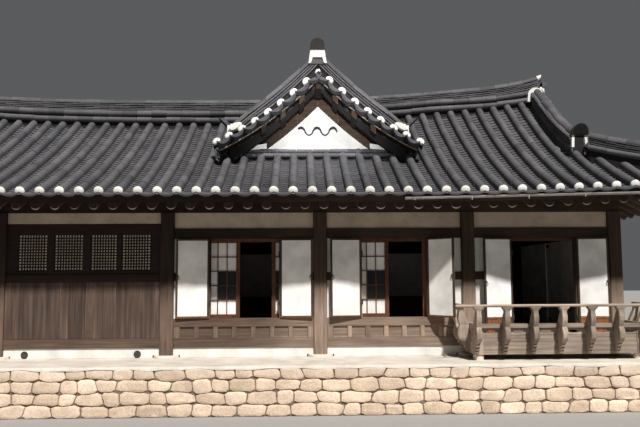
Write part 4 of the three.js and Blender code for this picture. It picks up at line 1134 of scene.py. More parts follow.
def front_gable():
    """The cross gable's wall with its wave, and the boards, outlookers and courses around it."""
    wall, boards, ink, courses, pale, dark, sawn, limes = (Shape() for _ in range(8))
    xs = np.linspace(-1.45, 1.45, 31)
    upper = at_cross_gable(GABLE_WALL, xs, -0.13)
    lower = upper.copy()
    lower[:, 2] = np.minimum(GROUND + GABLE_FOOT, upper[:, 2] - 0.02)
    behind = array(0, 0.08, 0)
    wall.add(*loft(np.stack([upper, upper + behind, lower + behind, lower], axis=1)), tone=1.0)
    wall.build("front_gable_wall", LIME, "plaster", replaces=("front_gable",))
    for side in (-1, 1):
        for k in range(4):
            low, high = 0.002 + 0.38 * k, 0.378 + 0.38 * k
            depth = 0.272 if k < 3 else 0.25
            hung(boards, side * np.linspace(low, min(high, 1.40), 5), 0.832, GABLE_WALL + 0.01, -0.13, depth)
        xs, edge = side * np.linspace(0.0, 1.76, 13), GABLE_VERGE + 0.045
        hung(dark, xs, edge, 0.86, -0.100, 0.022, tone=0.3)
        hung(pale, xs, GABLE_VERGE + 0.022, edge, -0.110, 0.020, tone=0.7)
    for x in (0, -0.30, 0.30, -0.64, 0.64, -0.98, 0.98):
        hung(dark, (x - 0.045, x + 0.045), GABLE_VERGE + 0.05, 0.84, -0.122, 0.13)
        hung(sawn, (x - 0.047, x + 0.047), GABLE_VERGE + 0.03, GABLE_VERGE + 0.05, -0.122, 0.132)
    for side in (-1, 1):
        wedge = ((0.95, 3.775), (1.60, 3.655), (1.62, 3.625), (0.95, 3.68))
        limes.prism([(side * u, 0.66, GROUND + z) for u, z in wedge], (0, 0.14, 0), tone=1.0)
    for reach, front, base in ((1.30, 0.74, GROUND + 3.645), (1.42, 0.66, GROUND + 3.555)):
        for start in np.arange(-reach, reach, 0.30):
            length = min(0.295, reach - start)
            outline = [
                (start, front + math.cos(a) * 0.045, base + math.sin(a) * 0.04) for a in arc(90, 270, 7)
            ]
            outline.append((start, GABLE_WALL, base - 0.04))
            courses.prism(outline, (length, 0, rng.normal(0, 0.002)))
    xs = np.linspace(-0.368, 0.358, 61)
    wave = np.cos(2 * np.pi * (xs + 0.0185) / 0.2985)
    z = GROUND + 4.040 + 0.070 * np.sign(wave) * np.abs(wave) ** 0.66
    size = 0.013 + 0.013 * (wave > 0) * wave
    slope = np.gradient(z, xs)
    normal = unit(np.stack([-slope, np.ones_like(xs)], axis=-1))
    sections = []
    for k in range(len(xs)):
        across = array(normal[k, 0], 0, normal[k, 1]) * size[k]
        middle = array(xs[k], GABLE_WALL, z[k])
        out = array(0, -0.010, 0)
        sections.append([middle - across, middle - across + out, middle + across + out, middle + across])
    ink.add(*loft(np.array(sections)))
    boards.build("front_gable_boards", TIMBER, "timber", bevel=0.004)
    pale.build("front_gable_deck_edge", PALE_TIMBER, "pale_timber")
    # The outlookers and the deck under the verge are near-black, as painted shade.
    dark.build("front_gable_outlookers", UPRIGHT_PAINTED_SHADE, "timber")
    sawn.build("front_gable_outlooker_ends", TIMBER, "timber")
    limes.build("front_gable_lime", LIME, "plaster")
    courses.build("front_gable_courses", TILE, "tile", smooth=40)
    ink.build("front_gable_wave", INK, "tile", smooth=50)


def side_gable(name, side):
    """Wall, bargeboards, outlookers and verge tiles at one end of the main ridge."""
    wall, boards, pale, tiles, caps = Shape(), Shape(), Shape(), Shape(), Shape()
    face = HALF_LENGTH - SIDE_GABLE_INSET
    verge = HALF_LENGTH - VERGE_INSET

    def at(distance, y, rise):
        x = MIDDLE_X + side * distance + 0 * y
        return np.stack([x, y, slope_at(x, y) + rise], axis=-1)

    ys = MIDDLE_Y + np.linspace(-1.62, 1.62, 33)
    upper, upper_inner = at(face, ys, -0.23), at(face - 0.08, ys, -0.23)
    lower, lower_inner = upper.copy(), upper_inner.copy()
    for points in (lower, lower_inner):
        points[:, 2] = np.minimum(GROUND + GABLE_FOOT, points[:, 2] - 0.02)
    wall.add(*loft(np.stack([upper, upper_inner, lower_inner, lower], axis=1)), tone=0.9)
    wall.build(name + "_wall", LIME, "plaster", replaces=(name,))
    for front in (-1, 1):
        for k in range(4):
            y = MIDDLE_Y + front * np.linspace(0.002 + 0.40 * k, min(0.398 + 0.40 * k, 1.60), 5)
            strip(boards, at, y, face + 0.04, face - 0.01, -0.235, -0.51)
        y = MIDDLE_Y + front * np.linspace(0, 2.36, 13)
        strip(pale, at, y, verge - 0.02, face, -0.15, -0.185, 0.6)
    for offset in (0, 0.36, -0.36, 0.72, -0.72, 1.08, -1.08):
        strip(boards, at, MIDDLE_Y + offset + array(-0.045, 0.045), verge - 0.145, face, -0.19, -0.37)

    def point(across, back):
        x = MIDDLE_X + side * (verge - 0.06 - back) + 0 * across
        return np.stack([x, across + 0 * back, slope_at(x, across + 0 * back) - 0.150], axis=-1)

    def limit(across):
        return 0.20 + 0 * across

    spacing = 0.262
    for k in range(-9, 9):
        y = MIDDLE_Y + spacing * (k + 0.5)
        male_row(tiles, caps, point, limit, y, 0.0, 0.45, length=0.2, squeeze=0.88)
        if k < 8:
            female_row(tiles, point, limit, y + spacing / 2, -0.01, spacing, 0.4)
    boards.build(name + "_boards", TIMBER, "timber", bevel=0.004)
    pale.build(name + "_deck", PALE_TIMBER, "pale_timber", bevel=0.003)
    tiles.build(name + "_verge_tiles", TILE, "tile", smooth=38)
    caps.build(name + "_verge_caps", LIME, "plaster", smooth=50)


gable_roof()
gable_ridges()
front_gable()
side_gable("left_gable", -1)
side_gable("right_gable", 1)


# Walls, doors and windows

class Wall:
    """An origin turned about the vertical. Places run along the wall, in from its outer side, and up."""

    def __init__(self, x, y, degrees=0.0):
        turn = math.radians(degrees)
        self.origin = array(x, y, GROUND)
        across, ahead = math.cos(turn), math.sin(turn)
        self.axes = array([across, ahead, 0], [-ahead, across, 0], [0, 0, 1])

    def place(self, points):
        return np.asarray(points, dtype=float) @ self.axes + self.origin

    def box(self, shape, low, high, tone=None):
        shape.add(self.place(box_points(low, high)), BOX_QUADS, tone)

    def lattice(self, bars, sheets, low, high, grid, bar, border, depth):
        """A framed grid of bars between two corners (along, up), with sheets of paper behind its cells."""
        (a, bottom), (b, top) = low, high
        columns, rows = grid
        outer, inner = depth
        for place in (a, b - border):
            self.box(bars, (place, outer, bottom), (place + border, inner, top))
        for place in (bottom, top - border):
            self.box(bars, (a + border, outer, place), (b - border, inner, place + border))
        left, right, low_edge, high_edge = a + border, b - border, bottom + border, top - border
        near, far = outer + 0.003, inner - 0.006
        for k in range(1, columns):
            place = left + (right - left) * k / columns - bar / 2
            self.box(bars, (place, near, low_edge), (place + bar, far, high_edge))
        for k in range(1, rows):
            place = low_edge + (high_edge - low_edge) * k / rows - bar / 2
            self.box(bars, (left, near + 0.001, place), (right, far - 0.001, place + bar))
        self.box(sheets, (left, far + 0.001, low_edge), (right, far + 0.004, high_edge))

    def barrel(self, shape, along, inward, low, high):
        """An upright hinge knuckle with eased ends."""
        angles = full_turn(12)
        ease = min(0.004, (high - low) / 4)
        rings = []
        for height, size in ((low, 0.7), (low + ease, 1.0), (high - ease, 1.0), (high, 0.7)):
            reach = KNUCKLE_RADIUS * size
            ring = [(along + math.cos(a) * reach, inward + math.sin(a) * reach, height) for a in angles]
            rings.append(self.place(ring))
        shape.add(*loft(np.array(rings)))

    def handle(self, shape, along, inward, height, side):
        """An iron ring that hangs from a small boss."""
        boss = (along + 0.014, inward + side * 0.007, height + 0.05)
        self.box(shape, (along - 0.014, inward, height + 0.018), boss)
        rings = []
        for turn in np.linspace(0, 2 * np.pi, 21):
            out = array(math.cos(turn), 0, math.sin(turn))
            centre = array(along, inward + side * 0.011, height) + out * 0.024
            ring = spokes(full_turn(6), out, array(0, 1, 0)) * 0.004
            rings.append(self.place(centre + ring))
        shape.add(*loft(np.array(rings), capped=False))


SILL_BEAM_TOP = 0.320
PANEL_TOP = 0.510
SILL_PANELS = 7
BACKING_FACE = -0.039
THRESHOLD_TOP = 0.643
FLOOR_TOP = 0.360
DOOR_TOP = 1.990
LINTEL_TOP = 2.164
PLANK_TOP = 1.263
PLANK_HEAD_TOP = 2.250
WALL_TOP = 2.435
WALL_HALF = 0.050
HALF_COLUMN = COLUMN / 2
FRONT = Wall(0, 0)
REAR = Wall(0, DEPTH, 180)
LEFT = Wall(LEFT_X, DEPTH, -90)
RIGHT = Wall(RIGHT_X, 0, 90)


def posts():
    """Front columns, hewn square with worn edges and drying cracks."""
    for k, x in enumerate(COLUMN_LINES):
        shape = Shape()
        half, ease = HALF_COLUMN, 0.016
        corners = [(half, -half + ease), (half, half - ease), (half - ease, half), (-half + ease, half)]
        outline = np.array(corners + [(-u, -v) for u, v in corners])
        rings = []
        for z in np.linspace(0.0405, WALL_TOP - 0.0005, 14):
            wear = 0.985 - 0.015 * math.exp(-z / 0.2) + rng.normal(0, 0.003, (8, 1))
            ring = outline * wear
            rings.append(FRONT.place(np.concatenate([ring + array(x, 0), np.full((8, 1), z)], axis=1)))
        shape.add(*loft(np.array(rings)), tone=0.35 + 0.3 * rng.random())
        for _ in range(3):
            u = x + rng.uniform(-0.07, 0.07)
            low = rng.uniform(0.1, 1.2)
            high = low + rng.uniform(0.4, 1.0)
            FRONT.box(shape, (u - 0.0025, -half - 0.0006, low), (u + 0.0025, -half + 0.01, high), tone=0.0)
        name = f"front_column_{k + 1}"
        shape.build(name + "_post", TIMBER_UPRIGHT, "timber", replaces=(name,))


def bay_faces(column):
    return COLUMN_LINES[column] + HALF_COLUMN, COLUMN_LINES[column - 1] - HALF_COLUMN


WINDOW_SPANS = [(-1.109, -0.607), (-0.508, -0.008), (0.105, 0.560), (0.626, 1.128)]
WINDOW_LOW, WINDOW_HIGH = 1.450, 2.080
VENTS = (-0.942, 0.925)
VENT_HEIGHT, VENT_RADIUS = 0.062, 0.058


def plank_bays():
    """The boards, small lattice windows, plaster and vents of the plank bays."""
    planks, bars, papers, plaster, rings, meshes = (Shape() for _ in range(6))
    for bay in range(1, 4):
        a, b = bay_faces(3 + bay)
        centre = (a + b) / 2
        edges = [a + 0.001]
        while edges[-1] < b - 0.34:
            edges.append(edges[-1] + rng.uniform(0.16, 0.31))
        edges.append(b - 0.001)
        for low, high in zip(edges[:-1], edges[1:]):
            front = -0.063 + rng.uniform(-0.002, 0.002)
            FRONT.box(planks, (low, front, SILL_BEAM_TOP + 0.001), (high - 0.004, -0.049, PLANK_TOP))
        plaster_band(plaster, a, b, PLANK_HEAD_TOP)
        for low, high in WINDOW_SPANS:
            corners = (centre + low, WINDOW_LOW), (centre + high, WINDOW_HIGH)
            columns = 10 if high - low > 0.48 else 9
            FRONT.lattice(bars, papers, *corners, (columns, 12), 0.022, 0.022, (-0.036, -0.019))
        for offset in VENTS:
            vent(rings, meshes, centre + offset)
    planks.build("plank_wall_boards", PLANKS, "timber", bevel=0.003)
    # The window lattices are near-black, as painted shade under the eaves.
    bars.build("plank_wall_lattices", UPRIGHT_PAINTED_SHADE, "timber")
    papers.build("plank_wall_papers", AGED_PAPER, "paper")
    plaster.build("plank_wall_plaster", BAND_PLASTER, "plaster")
    rings.build("vent_rings", IRON, "tile", smooth=40)
    meshes.build("vent_meshes", IRON, "tile")


def vent(rings, meshes, x):
    """A round vent through the plinth, with a ring and wire mesh."""
    z, radius = VENT_HEIGHT, VENT_RADIUS
    angles = full_turn(24)
    sections = []
    profile = ((1.0, -0.049), (1.06, -0.054), (1.0, -0.060), (0.88, -0.060), (0.86, -0.049), (1.0, -0.049))
    for size, y in profile:
        reach = radius * size
        sections.append(FRONT.place([(x + math.cos(a) * reach, y, z + math.sin(a) * reach) for a in angles]))
    rings.add(*loft(np.array(sections), capped=False))
    for k in range(-4, 5):
        offset = k * radius / 5
        reach = math.sqrt(radius * radius - offset * offset) * 0.9
        FRONT.box(meshes, (x + offset - 0.002, -0.055, z - reach), (x + offset + 0.002, -0.052, z + reach))
        FRONT.box(meshes, (x - reach, -0.056, z + offset - 0.002), (x + reach, -0.053, z + offset + 0.002))


DOORWAYS = [
    ("bay_b", 3, -1.281, 1.160, THRESHOLD_TOP, (177, 177)),
    ("bay_c", 2, 1.269, 1.110, THRESHOLD_TOP, (172, 134)),
    ("bay_d", 1, 3.850, 1.100, FLOOR_TOP, (166, 172)),
]
HINGE_INWARD = -0.076
HINGE_INSET = 0.220
KNUCKLE, KNUCKLE_RADIUS = 0.045, 0.0104
STRIP_BAR = (1.275, 1.415)
LEAF_HALF = 0.0149


def hinge_heights(bottom):
    return bottom + HINGE_INSET, DOOR_TOP - HINGE_INSET - 2 * KNUCKLE


def door_strips(name, column, centre, width, bottom):
    """The narrow plaster strips beside a doorway, their jambs, bars and fixed hinge knuckles."""
    faces = bay_faces(column)
    for side, label in ((-1, "left"), (1, "right")):
        plaster, frame, iron = Shape(), Shape(), Shape()
        edge, column_face = centre + side * width / 2, faces[(side + 1) // 2]
        jamb = edge + side * 0.055
        FRONT.box(plaster, (jamb, -0.046, bottom + 0.001), (column_face, 0.046, DOOR_TOP - 0.001))
        FRONT.box(frame, (edge, -0.058, bottom + 0.001), (jamb, WALL_HALF, DOOR_TOP - 0.001))
        FRONT.box(frame, (jamb, -0.056, STRIP_BAR[0]), (column_face, -0.040, STRIP_BAR[1]))
        for z in hinge_heights(bottom):
            FRONT.barrel(iron, edge, HINGE_INWARD, z, z + KNUCKLE - 0.0005)
            plate = (edge - 0.006, HINGE_INWARD, z + 0.004), (edge + 0.006, -0.050, z + KNUCKLE - 0.004)
            FRONT.box(iron, *plate)
        node = f"{name}_{label}_wall"
        plaster.build(node + "_plaster", LIME, "plaster", replaces=(node,))
        frame.build(node + "_jamb", TIMBER_UPRIGHT, "timber", bevel=0.003)
        iron.build(node + "_hinges", IRON, "tile", smooth=40)


def leaf(name, side, centre, width, bottom, open_angle):
    """A paper-covered leaf: bars on its outer face, paper on the face that looks inward when it is shut."""
    turned = (0 if side < 0 else 180) + side * open_angle
    wall = Wall(centre + side * width / 2, HINGE_INWARD, turned)
    inward = -side
    near, far = 0.018, width / 2 - 0.006
    low, high = bottom + 0.008, DOOR_TOP - 0.008
    frame, kick, paper, iron = Shape(), Shape(), Shape(), Shape()
    border = 0.036
    paper_low = low + 0.030
    if bottom < THRESHOLD_TOP:
        paper_low = THRESHOLD_TOP - 0.005
        wall.box(kick, (near + border, -0.006, low + border), (far - border, 0.006, paper_low - 0.012))
        wall.box(kick, (near, -LEAF_HALF, low), (far, LEAF_HALF, low + border))
        wall.box(kick, (near + border, -0.013, paper_low - 0.032), (far - border, 0.013, paper_low))
        middle = (near + far) / 2
        wall.box(kick, (middle - 0.016, -0.011, low + border), (middle + 0.016, 0.011, paper_low - 0.032))
    else:
        wall.box(kick, (near, -LEAF_HALF, low), (far, LEAF_HALF, paper_low))
    for place in (near, far - border):
        wall.box(frame, (place, -0.0148, low + 0.001), (place + border, 0.0148, high))
    wall.box(frame, (near + border, -0.0145, high - border), (far - border, 0.0145, high))
    wall.box(
        paper,
        (near + border * 0.92, inward * 0.0150, paper_low + 0.004),
        (far - border * 0.92, inward * 0.0125, high - border * 0.75),
    )
    left, right = near + border, far - border
    for k in range(1, 6):
        place = left + (right - left) * k / 6
        wall.box(frame, (place - 0.006, -inward * 0.0135, paper_low), (place + 0.006, 0.0, high - border))
    span = high - border - paper_low
    for share in (0.05, 0.09, 0.13, 0.17, 0.46, 0.50, 0.54, 0.58, 0.83, 0.87, 0.91, 0.95):
        z = paper_low + span * share
        wall.box(frame, (left, -inward * 0.0125, z - 0.006), (right, -inward * 0.001, z + 0.006))
    for z in hinge_heights(bottom):
        wall.barrel(iron, 0, 0, z + KNUCKLE, z + 2 * KNUCKLE - 0.0005)
        wall.box(iron, (0, -0.005, z + KNUCKLE + 0.004), (near + 0.01, 0.005, z + 2 * KNUCKLE - 0.004))
    for face in (-1, 1):
        wall.handle(iron, far - 0.033, face * 0.0150, 1.32 if bottom > 0.5 else 1.20, face)
    body = f"{name}_{'left' if side < 0 else 'right'}_leaf"
    frame.build(body + "_frame", DARK_UPRIGHT, "timber", body=body)
    # Leaves over a threshold get the darker copy of the orange timber, as painted shade.
    bottom_material = ORANGE_TIMBER if bottom < THRESHOLD_TOP else ORANGE_TIMBER_PAINTED_SHADE
    kick.build(body + "_bottom", bottom_material, "orange_timber", body=body)
    paper.build(body + "_paper", PAPER, "paper", body=body, replaces=(body,))
    iron.build(body + "_ironwork", IRON, "tile", body=body, smooth=40)


SLIDING_WIDTH = 0.600
SLIDING_INWARD = 0.073
SLIDING_REST = {"bay_b": (0.092, 0.450), "bay_c": (0.084, 0.500)}


def sliding_door(name, side, start, meeting, bottom):
    """A lattice door in its track: paper cells, with four panes of glass beside the meeting stile."""
    low, high = bottom + 0.0006, DOOR_TOP - 0.008
    stile, rail, foot, bar = 0.066, 0.060, 0.062, 0.015
    y = SLIDING_INWARD
    frame, paper, glass = Shape(), Shape(), Shape()
    end = start + SLIDING_WIDTH
    for place in (start, end - stile):
        FRONT.box(frame, (place, y - LEAF_HALF, low), (place + stile, y + LEAF_HALF, high))
    for z0, z1 in ((low, low + foot), (high - rail, high)):
        FRONT.box(frame, (start + stile, y - 0.0145, z0), (end - stile, y + 0.0145, z1))
    left, right = start + stile, end - stile
    cell_low, cell_high = low + foot, high - rail
    for k in range(1, 3):
        place = left + (right - left) * k / 3
        FRONT.box(frame, (place - bar / 2, y - 0.012, cell_low), (place + bar / 2, y + 0.008, cell_high))
    for k in range(1, 5):
        z = cell_low + (cell_high - cell_low) * k / 5
        FRONT.box(frame, (left, y - 0.011, z - bar / 2), (right, y + 0.007, z + bar / 2))
    for column in range(3):
        from_meeting = column if meeting < start + 0.3 else 2 - column
        for row in range(5):
            pane = glass if row in (1, 2) and from_meeting < 2 else paper
            u0, u1 = (left + (right - left) * (column + k) / 3 for k in (0, 1))
            z0, z1 = (cell_low + (cell_high - cell_low) * (row + k) / 5 for k in (0, 1))
            FRONT.box(pane, (u0 + 0.001, y + 0.0085, z0 + 0.001), (u1 - 0.001, y + 0.0105, z1 - 0.001))
    body = f"{name}_{side}_sliding_door"
    # The frames take the darker copy of the orange timber, as painted shade.
    frame.build(body + "_frame", ORANGE_TIMBER_PAINTED_SHADE, "orange_timber", body=body, replaces=(body,))
    paper.build(body + "_paper", PAPER, "paper", body=body)
    glass.build(body + "_glass", GLASS_PAINTED_DARK, "tile", body=body)


def sill_panels(shape, a, b):
    """The stiles between a sill's small sunk panels, and the panels' lower and upper edges."""
    margin, half = 0.07, 0.038
    pitch = (b - a - 2 * margin) / SILL_PANELS
    middles = [a + margin + pitch * k for k in range(SILL_PANELS + 1)]
    stiles = [(a + 0.001, a + 0.105), (b - 0.105, b - 0.001)] + [(u - half, u + half) for u in middles[1:-1]]
    for low, high in stiles:
        FRONT.box(shape, (low, -0.066, SILL_BEAM_TOP), (high, BACKING_FACE, PANEL_TOP))
    for low, high in zip(middles[:-1], middles[1:]):
        for bottom, top in ((SILL_BEAM_TOP, SILL_BEAM_TOP + 0.016), (PANEL_TOP - 0.016, PANEL_TOP)):
            FRONT.box(shape, (low + half, -0.058, bottom), (high - half, BACKING_FACE, top))


def plaster_band(shape, a, b, low):
    """The plaster over one bay, from a height up to the wall plate."""
    FRONT.box(shape, (a + 0.002, -0.047, low + 0.002), (b - 0.002, BACKING_FACE, WALL_TOP - 0.002))


def door_bays():
    """Sills with small sunk panels, plaster over the lintels, head tracks, strips and leaves."""
    stiles, bands, trims = Shape(), Shape(), Shape()
    for name, column, centre, width, bottom, (left_open, right_open) in DOORWAYS:
        a, b = bay_faces(column)
        plaster_band(bands, a, b, LINTEL_TOP)
        if bottom > PANEL_TOP:
            sill_panels(stiles, a, b)
        head = DOOR_TOP - 0.0005
        FRONT.box(trims, (centre - width / 2, 0.012, head - 0.055), (centre + width / 2, 0.046, head))
        door_strips(name, column, centre, width, bottom)
        leaf(name, -1, centre, width, bottom, left_open)
        leaf(name, 1, centre, width, bottom, right_open)
        if name in SLIDING_REST:
            left, right = SLIDING_REST[name]
            sliding_door(name, "left", centre - left - SLIDING_WIDTH, centre - left, bottom)
            sliding_door(name, "right", centre + right, centre + right, bottom)
    stiles.build("sill_panel_stiles", TIMBER_UPRIGHT, "timber", bevel=0.003)
    bands.build("front_plaster_bands", BAND_PLASTER, "plaster")
    # The head tracks take the darker copy of the orange timber, as painted shade.
    trims.build("doorway_head_tracks", ORANGE_TIMBER_PAINTED_SHADE, "orange_timber")


def under_eave_infill():
    """Plaster between the rafters, from the wall plates up to the boards over them."""
    infill = Shape()
    for _, (point, _), middle, half, _ in SLOPES:
        reach = half - OVERHANG + 0.05
        across = middle + np.linspace(-reach, reach, 41)
        rows = ((1.165, -0.43), (1.165, -0.236), (1.255, -0.236), (1.255, -0.43))
        sections = [point(across, np.full(41, back)) + array(0, 0, rise) for back, rise in rows]
        infill.add(*loft(np.stack(sections, axis=1)))
    infill.build("under_eave_plaster", LIME, "plaster")


FOOT_RAIL_TOP = 0.318
WINDOW_HEIGHTS, WINDOW_CELLS = (0.900, 1.850), (5, 12)
DOOR_HEIGHTS, DOOR_CELLS = (0.380, DOOR_TOP), (6, 16)
END_WINDOW, END_DOOR = (0.730, 1.830), (2.800, 4.400)
END_DOOR_GAP = 0.160


def panelled(wall, plaster, rails, a, b, opening):
    """Plaster panels and rails over one bay of a framed wall, around an opening (a, b, low, high)."""
    def panel(u0, u1, low, high):
        if u1 - u0 > 0.06 and high - low > 0.06:
            wall.box(plaster, (u0, -0.056, low), (u1, -0.049, high))

    def rail(u0, u1, low, high, proud=0.072):
        wall.box(rails, (u0, -proud, low), (u1, -0.049, high))

    rail(a, b, FOOT_RAIL_TOP - 0.155, FOOT_RAIL_TOP)
    left, right, low, high = opening
    rail(a, b, high, high + 0.12)
    panel(a, b, high + 0.122, WALL_TOP - 0.004)
    for u0, u1 in ((left - 0.08, left), (right, right + 0.08)):
        rail(u0, u1, FOOT_RAIL_TOP, high, 0.068)
    foot = FOOT_RAIL_TOP + 0.002
    if low > 0.5:
        rail(a, b, low - 0.11, low)
        for u0, u1 in ((a, left - 0.08), (left, right), (right + 0.08, b)):
            panel(u0, u1, foot, low - 0.112)
        foot = low + 0.002
    panel(a, left - 0.08, foot, high - 0.002)
    panel(right + 0.08, b, foot, high - 0.002)


def double_panels(wall, bars, papers, opening, grid, gap=0.0):
    """Two lattice panels side by side in an opening; a gap leaves the first part of it open."""
    left, right, low, high = opening
    middle = (left + right) / 2
    edges = ((left + gap, middle - 0.002), (middle + 0.002, right))
    for u0, u1 in edges:
        wall.lattice(bars, papers, (u0, low + 0.004), (u1, high - 0.004), grid, 0.014, 0.045, (-0.034, 0.0))


def other_walls():
    """Framed plaster with a window in each bay of the rear, and a window and a door in each end."""
    plaster, rails, bars, papers = (Shape() for _ in range(4))
    for k in range(1, len(COLUMN_LINES)):
        a, b = -COLUMN_LINES[k - 1] + HALF_COLUMN, -COLUMN_LINES[k] - HALF_COLUMN
        centre = (a + b) / 2
        window = (centre - 0.5, centre + 0.5, *WINDOW_HEIGHTS)
        panelled(REAR, plaster, rails, a, b, window)
        double_panels(REAR, bars, papers, window, WINDOW_CELLS)
    halves = ((HALF_COLUMN, MIDDLE_Y - HALF_COLUMN), (MIDDLE_Y + HALF_COLUMN, DEPTH - HALF_COLUMN))
    ends = (
        (RIGHT, halves, END_WINDOW, END_DOOR, END_DOOR_GAP),
        (LEFT, halves[::-1], *((DEPTH - high, DEPTH - low) for low, high in (END_WINDOW, END_DOOR)), 0.0),
    )
    for wall, spans, window, door, gap in ends:
        window, door = (*window, *WINDOW_HEIGHTS), (*door, *DOOR_HEIGHTS)
        for span, opening in zip(spans, (window, door)):
            panelled(wall, plaster, rails, *span, opening)
        double_panels(wall, bars, papers, window, WINDOW_CELLS)
        double_panels(wall, bars, papers, door, DOOR_CELLS, gap)
    plaster.build("rear_and_end_plaster", LIME, "plaster")
    rails.build("rear_and_end_rails", TIMBER, "timber", bevel=0.004)
    bars.build("rear_and_end_lattices", DARK_UPRIGHT, "timber")
    papers.build("rear_and_end_papers", PAPER, "paper")


GUTTER_LEVEL, GUTTER_FALL = 2.568, 0.022
GUTTER_LEFT, GUTTER_RIGHT, GUTTER_LINE = 1.30, RIGHT_X + 1.00, -1.165


def gutter():
    """The slender half-round trough under the right half of the front eave, on its straps."""
    trough, straps = Shape(), Shape()
    xs = np.linspace(GUTTER_LEFT, GUTTER_RIGHT, 25)
    heights = GROUND + GUTTER_LEVEL + GUTTER_FALL * (xs - GUTTER_LEFT)
    angles = arc(180, 360, 9)
    y, radius, wall = GUTTER_LINE, 0.038, 0.004
    profile = [(math.cos(a) * radius, math.sin(a) * radius) for a in angles]
    profile += [(math.cos(a) * (radius - wall), math.sin(a) * (radius - wall)) for a in angles[::-1]]
    sections = [[(x, y + u, z + v) for u, v in profile] for x, z in zip(xs, heights)]
    trough.add(*loft(np.array(sections)))
    for x in np.arange(GUTTER_LEFT + 0.15, GUTTER_RIGHT, 0.9):
        z = GROUND + GUTTER_LEVEL + GUTTER_FALL * (x - GUTTER_LEFT)
        top = float(slope_at(x, y)) - 0.20
        left, right, front, bottom = x - 0.007, x + 0.007, y - radius - 0.003, z - radius
        straps.box((left, front, z - 0.01), (right, y - radius + 0.001, top))
        straps.box((left, front, bottom - 0.002), (right, y + radius + 0.003, bottom))
    trough.build("eave_gutter", TIN, "tile", smooth=40)
    straps.build("eave_gutter_straps", TIN, "tile")


# Balcony in front of the right-hand bay

BALCONY_LEFT, BALCONY_RIGHT = BAY_C - HALF_COLUMN, RIGHT_X + HALF_COLUMN
BALCONY_FRONT, BALCONY_BACK, SIDE_BOARD_END = -0.800, 0.1155, 0.7595
DECK_TOP, FASCIA_TOP, FASCIA_LOW = 0.350, 0.396, 0.085
LOWER_RAIL = (0.495, 0.575)
RAIL_HEIGHT, RAIL_RADIUS, RAIL_FRONT = 0.864, 0.023, -1.010
RAIL_OVERRUN, SIDE_REACH = 0.330, 0.165
BALUSTERS = np.linspace(BALCONY_LEFT + 0.035, BALCONY_RIGHT - 0.035, 7)

# Outer edge, inner edge and half width of a baluster, each with its height
BALUSTER_OUTER = [
    (0.040, 0.105), (0.084, 0.128), (0.070, 0.152), (0.118, 0.176), (0.104, 0.204), (0.158, 0.234),
    (0.146, 0.262), (0.202, 0.300), (0.232, 0.345), (0.246, 0.400), (0.244, 0.450), (0.228, 0.500),
    (0.204, 0.532), (0.220, 0.570), (0.243, 0.635), (0.246, 0.695), (0.232, 0.750), (0.226, 0.790),
    (0.236, 0.822), (0.240, 0.850),
]
BALUSTER_INNER = [
    (0.001, 0.1), (0.001, 0.50), (0.014, 0.58), (0.060, 0.66), (0.110, 0.74), (0.135, 0.80), (0.165, 0.85),
]
BALUSTER_HALVES = [
    (0.032, 0.1), (0.034, 0.29), (0.043, 0.34), (0.043, 0.49), (0.037, 0.533), (0.042, 0.58), (0.042, 0.70),
    (0.036, 0.765), (0.044, 0.790), (0.066, 0.815), (0.080, 0.830), (0.084, 0.850),
]


def baluster(shape, wall, along, reach=1.0):
    """A carved baluster: a board with rolls at its foot, a waist at the lower rail and a flared head."""
    profiles = [np.array(profile) for profile in (BALUSTER_OUTER, BALUSTER_INNER, BALUSTER_HALVES)]
    outer, _, halves = profiles
    ease = 0.008
    heights = np.unique(np.concatenate([outer[:, 1], halves[1:, 1], np.linspace(0.12, 0.84, 19)]))
    sections = []
    for z in heights[heights >= outer[0, 1]]:
        out, back, half = (np.interp(z, profile[:, 1], profile[:, 0]) for profile in profiles)
        sections.append(wall.place([
            (along - half, -back * reach, z), (along - half, -(out - ease) * reach, z),
            (along - half + ease, -out * reach, z), (along + half - ease, -out * reach, z),
            (along + half, -(out - ease) * reach, z), (along + half, -back * reach, z),
        ]))
    shape.add(*loft(np.array(sections)))


def holed_board(shape, wall, a, b, low, high, near, far, hole):
    """A board with one long oval hole through it."""
    turns = full_turn(32) + 0.01
    middle, level = (a + b) / 2, (low + high) / 2
    oval = [(middle + math.cos(t) * hole[0], level + math.sin(t) * hole[1]) for t in turns]
    rim = []
    for t in turns:
        u, v = math.cos(t), math.sin(t)
        scale = min((b - a) / 2 / max(abs(u), 1e-6), (high - low) / 2 / max(abs(v), 1e-6))
        rim.append((middle + u * scale, level + v * scale))
    stages = ((rim, near), (oval, near), (oval, far), (rim, far), (rim, near))
    rings = np.array([[(u, depth, z) for u, z in ring] for ring, depth in stages])
    shape.add(*loft(wall.place(rings), capped=False))


def round_rail(shape, start, finish):
    """A round rail with slight hand-worked unevenness and eased ends."""
    start, finish = array(*start) + array(0, 0, GROUND), array(*finish) + array(0, 0, GROUND)
    run = unit(finish - start)
    length = np.linalg.norm(finish - start)
    circle = spokes(full_turn(14), *square_to(run)) * RAIL_RADIUS
    steps = 9
    places = np.concatenate([[0, 0.006], np.linspace(0.05, length - 0.05, steps), [length - 0.006, length]])
    sizes = np.concatenate([[0.85, 0.97], 1 + rng.normal(0, 0.012, steps), [0.97, 0.85]])
    sizes = np.minimum(sizes, 1.02)
    sections = [start + run * place + circle * size for place, size in zip(places, sizes)]
    shape.add(*loft(np.stack(sections)), tone=1.0)


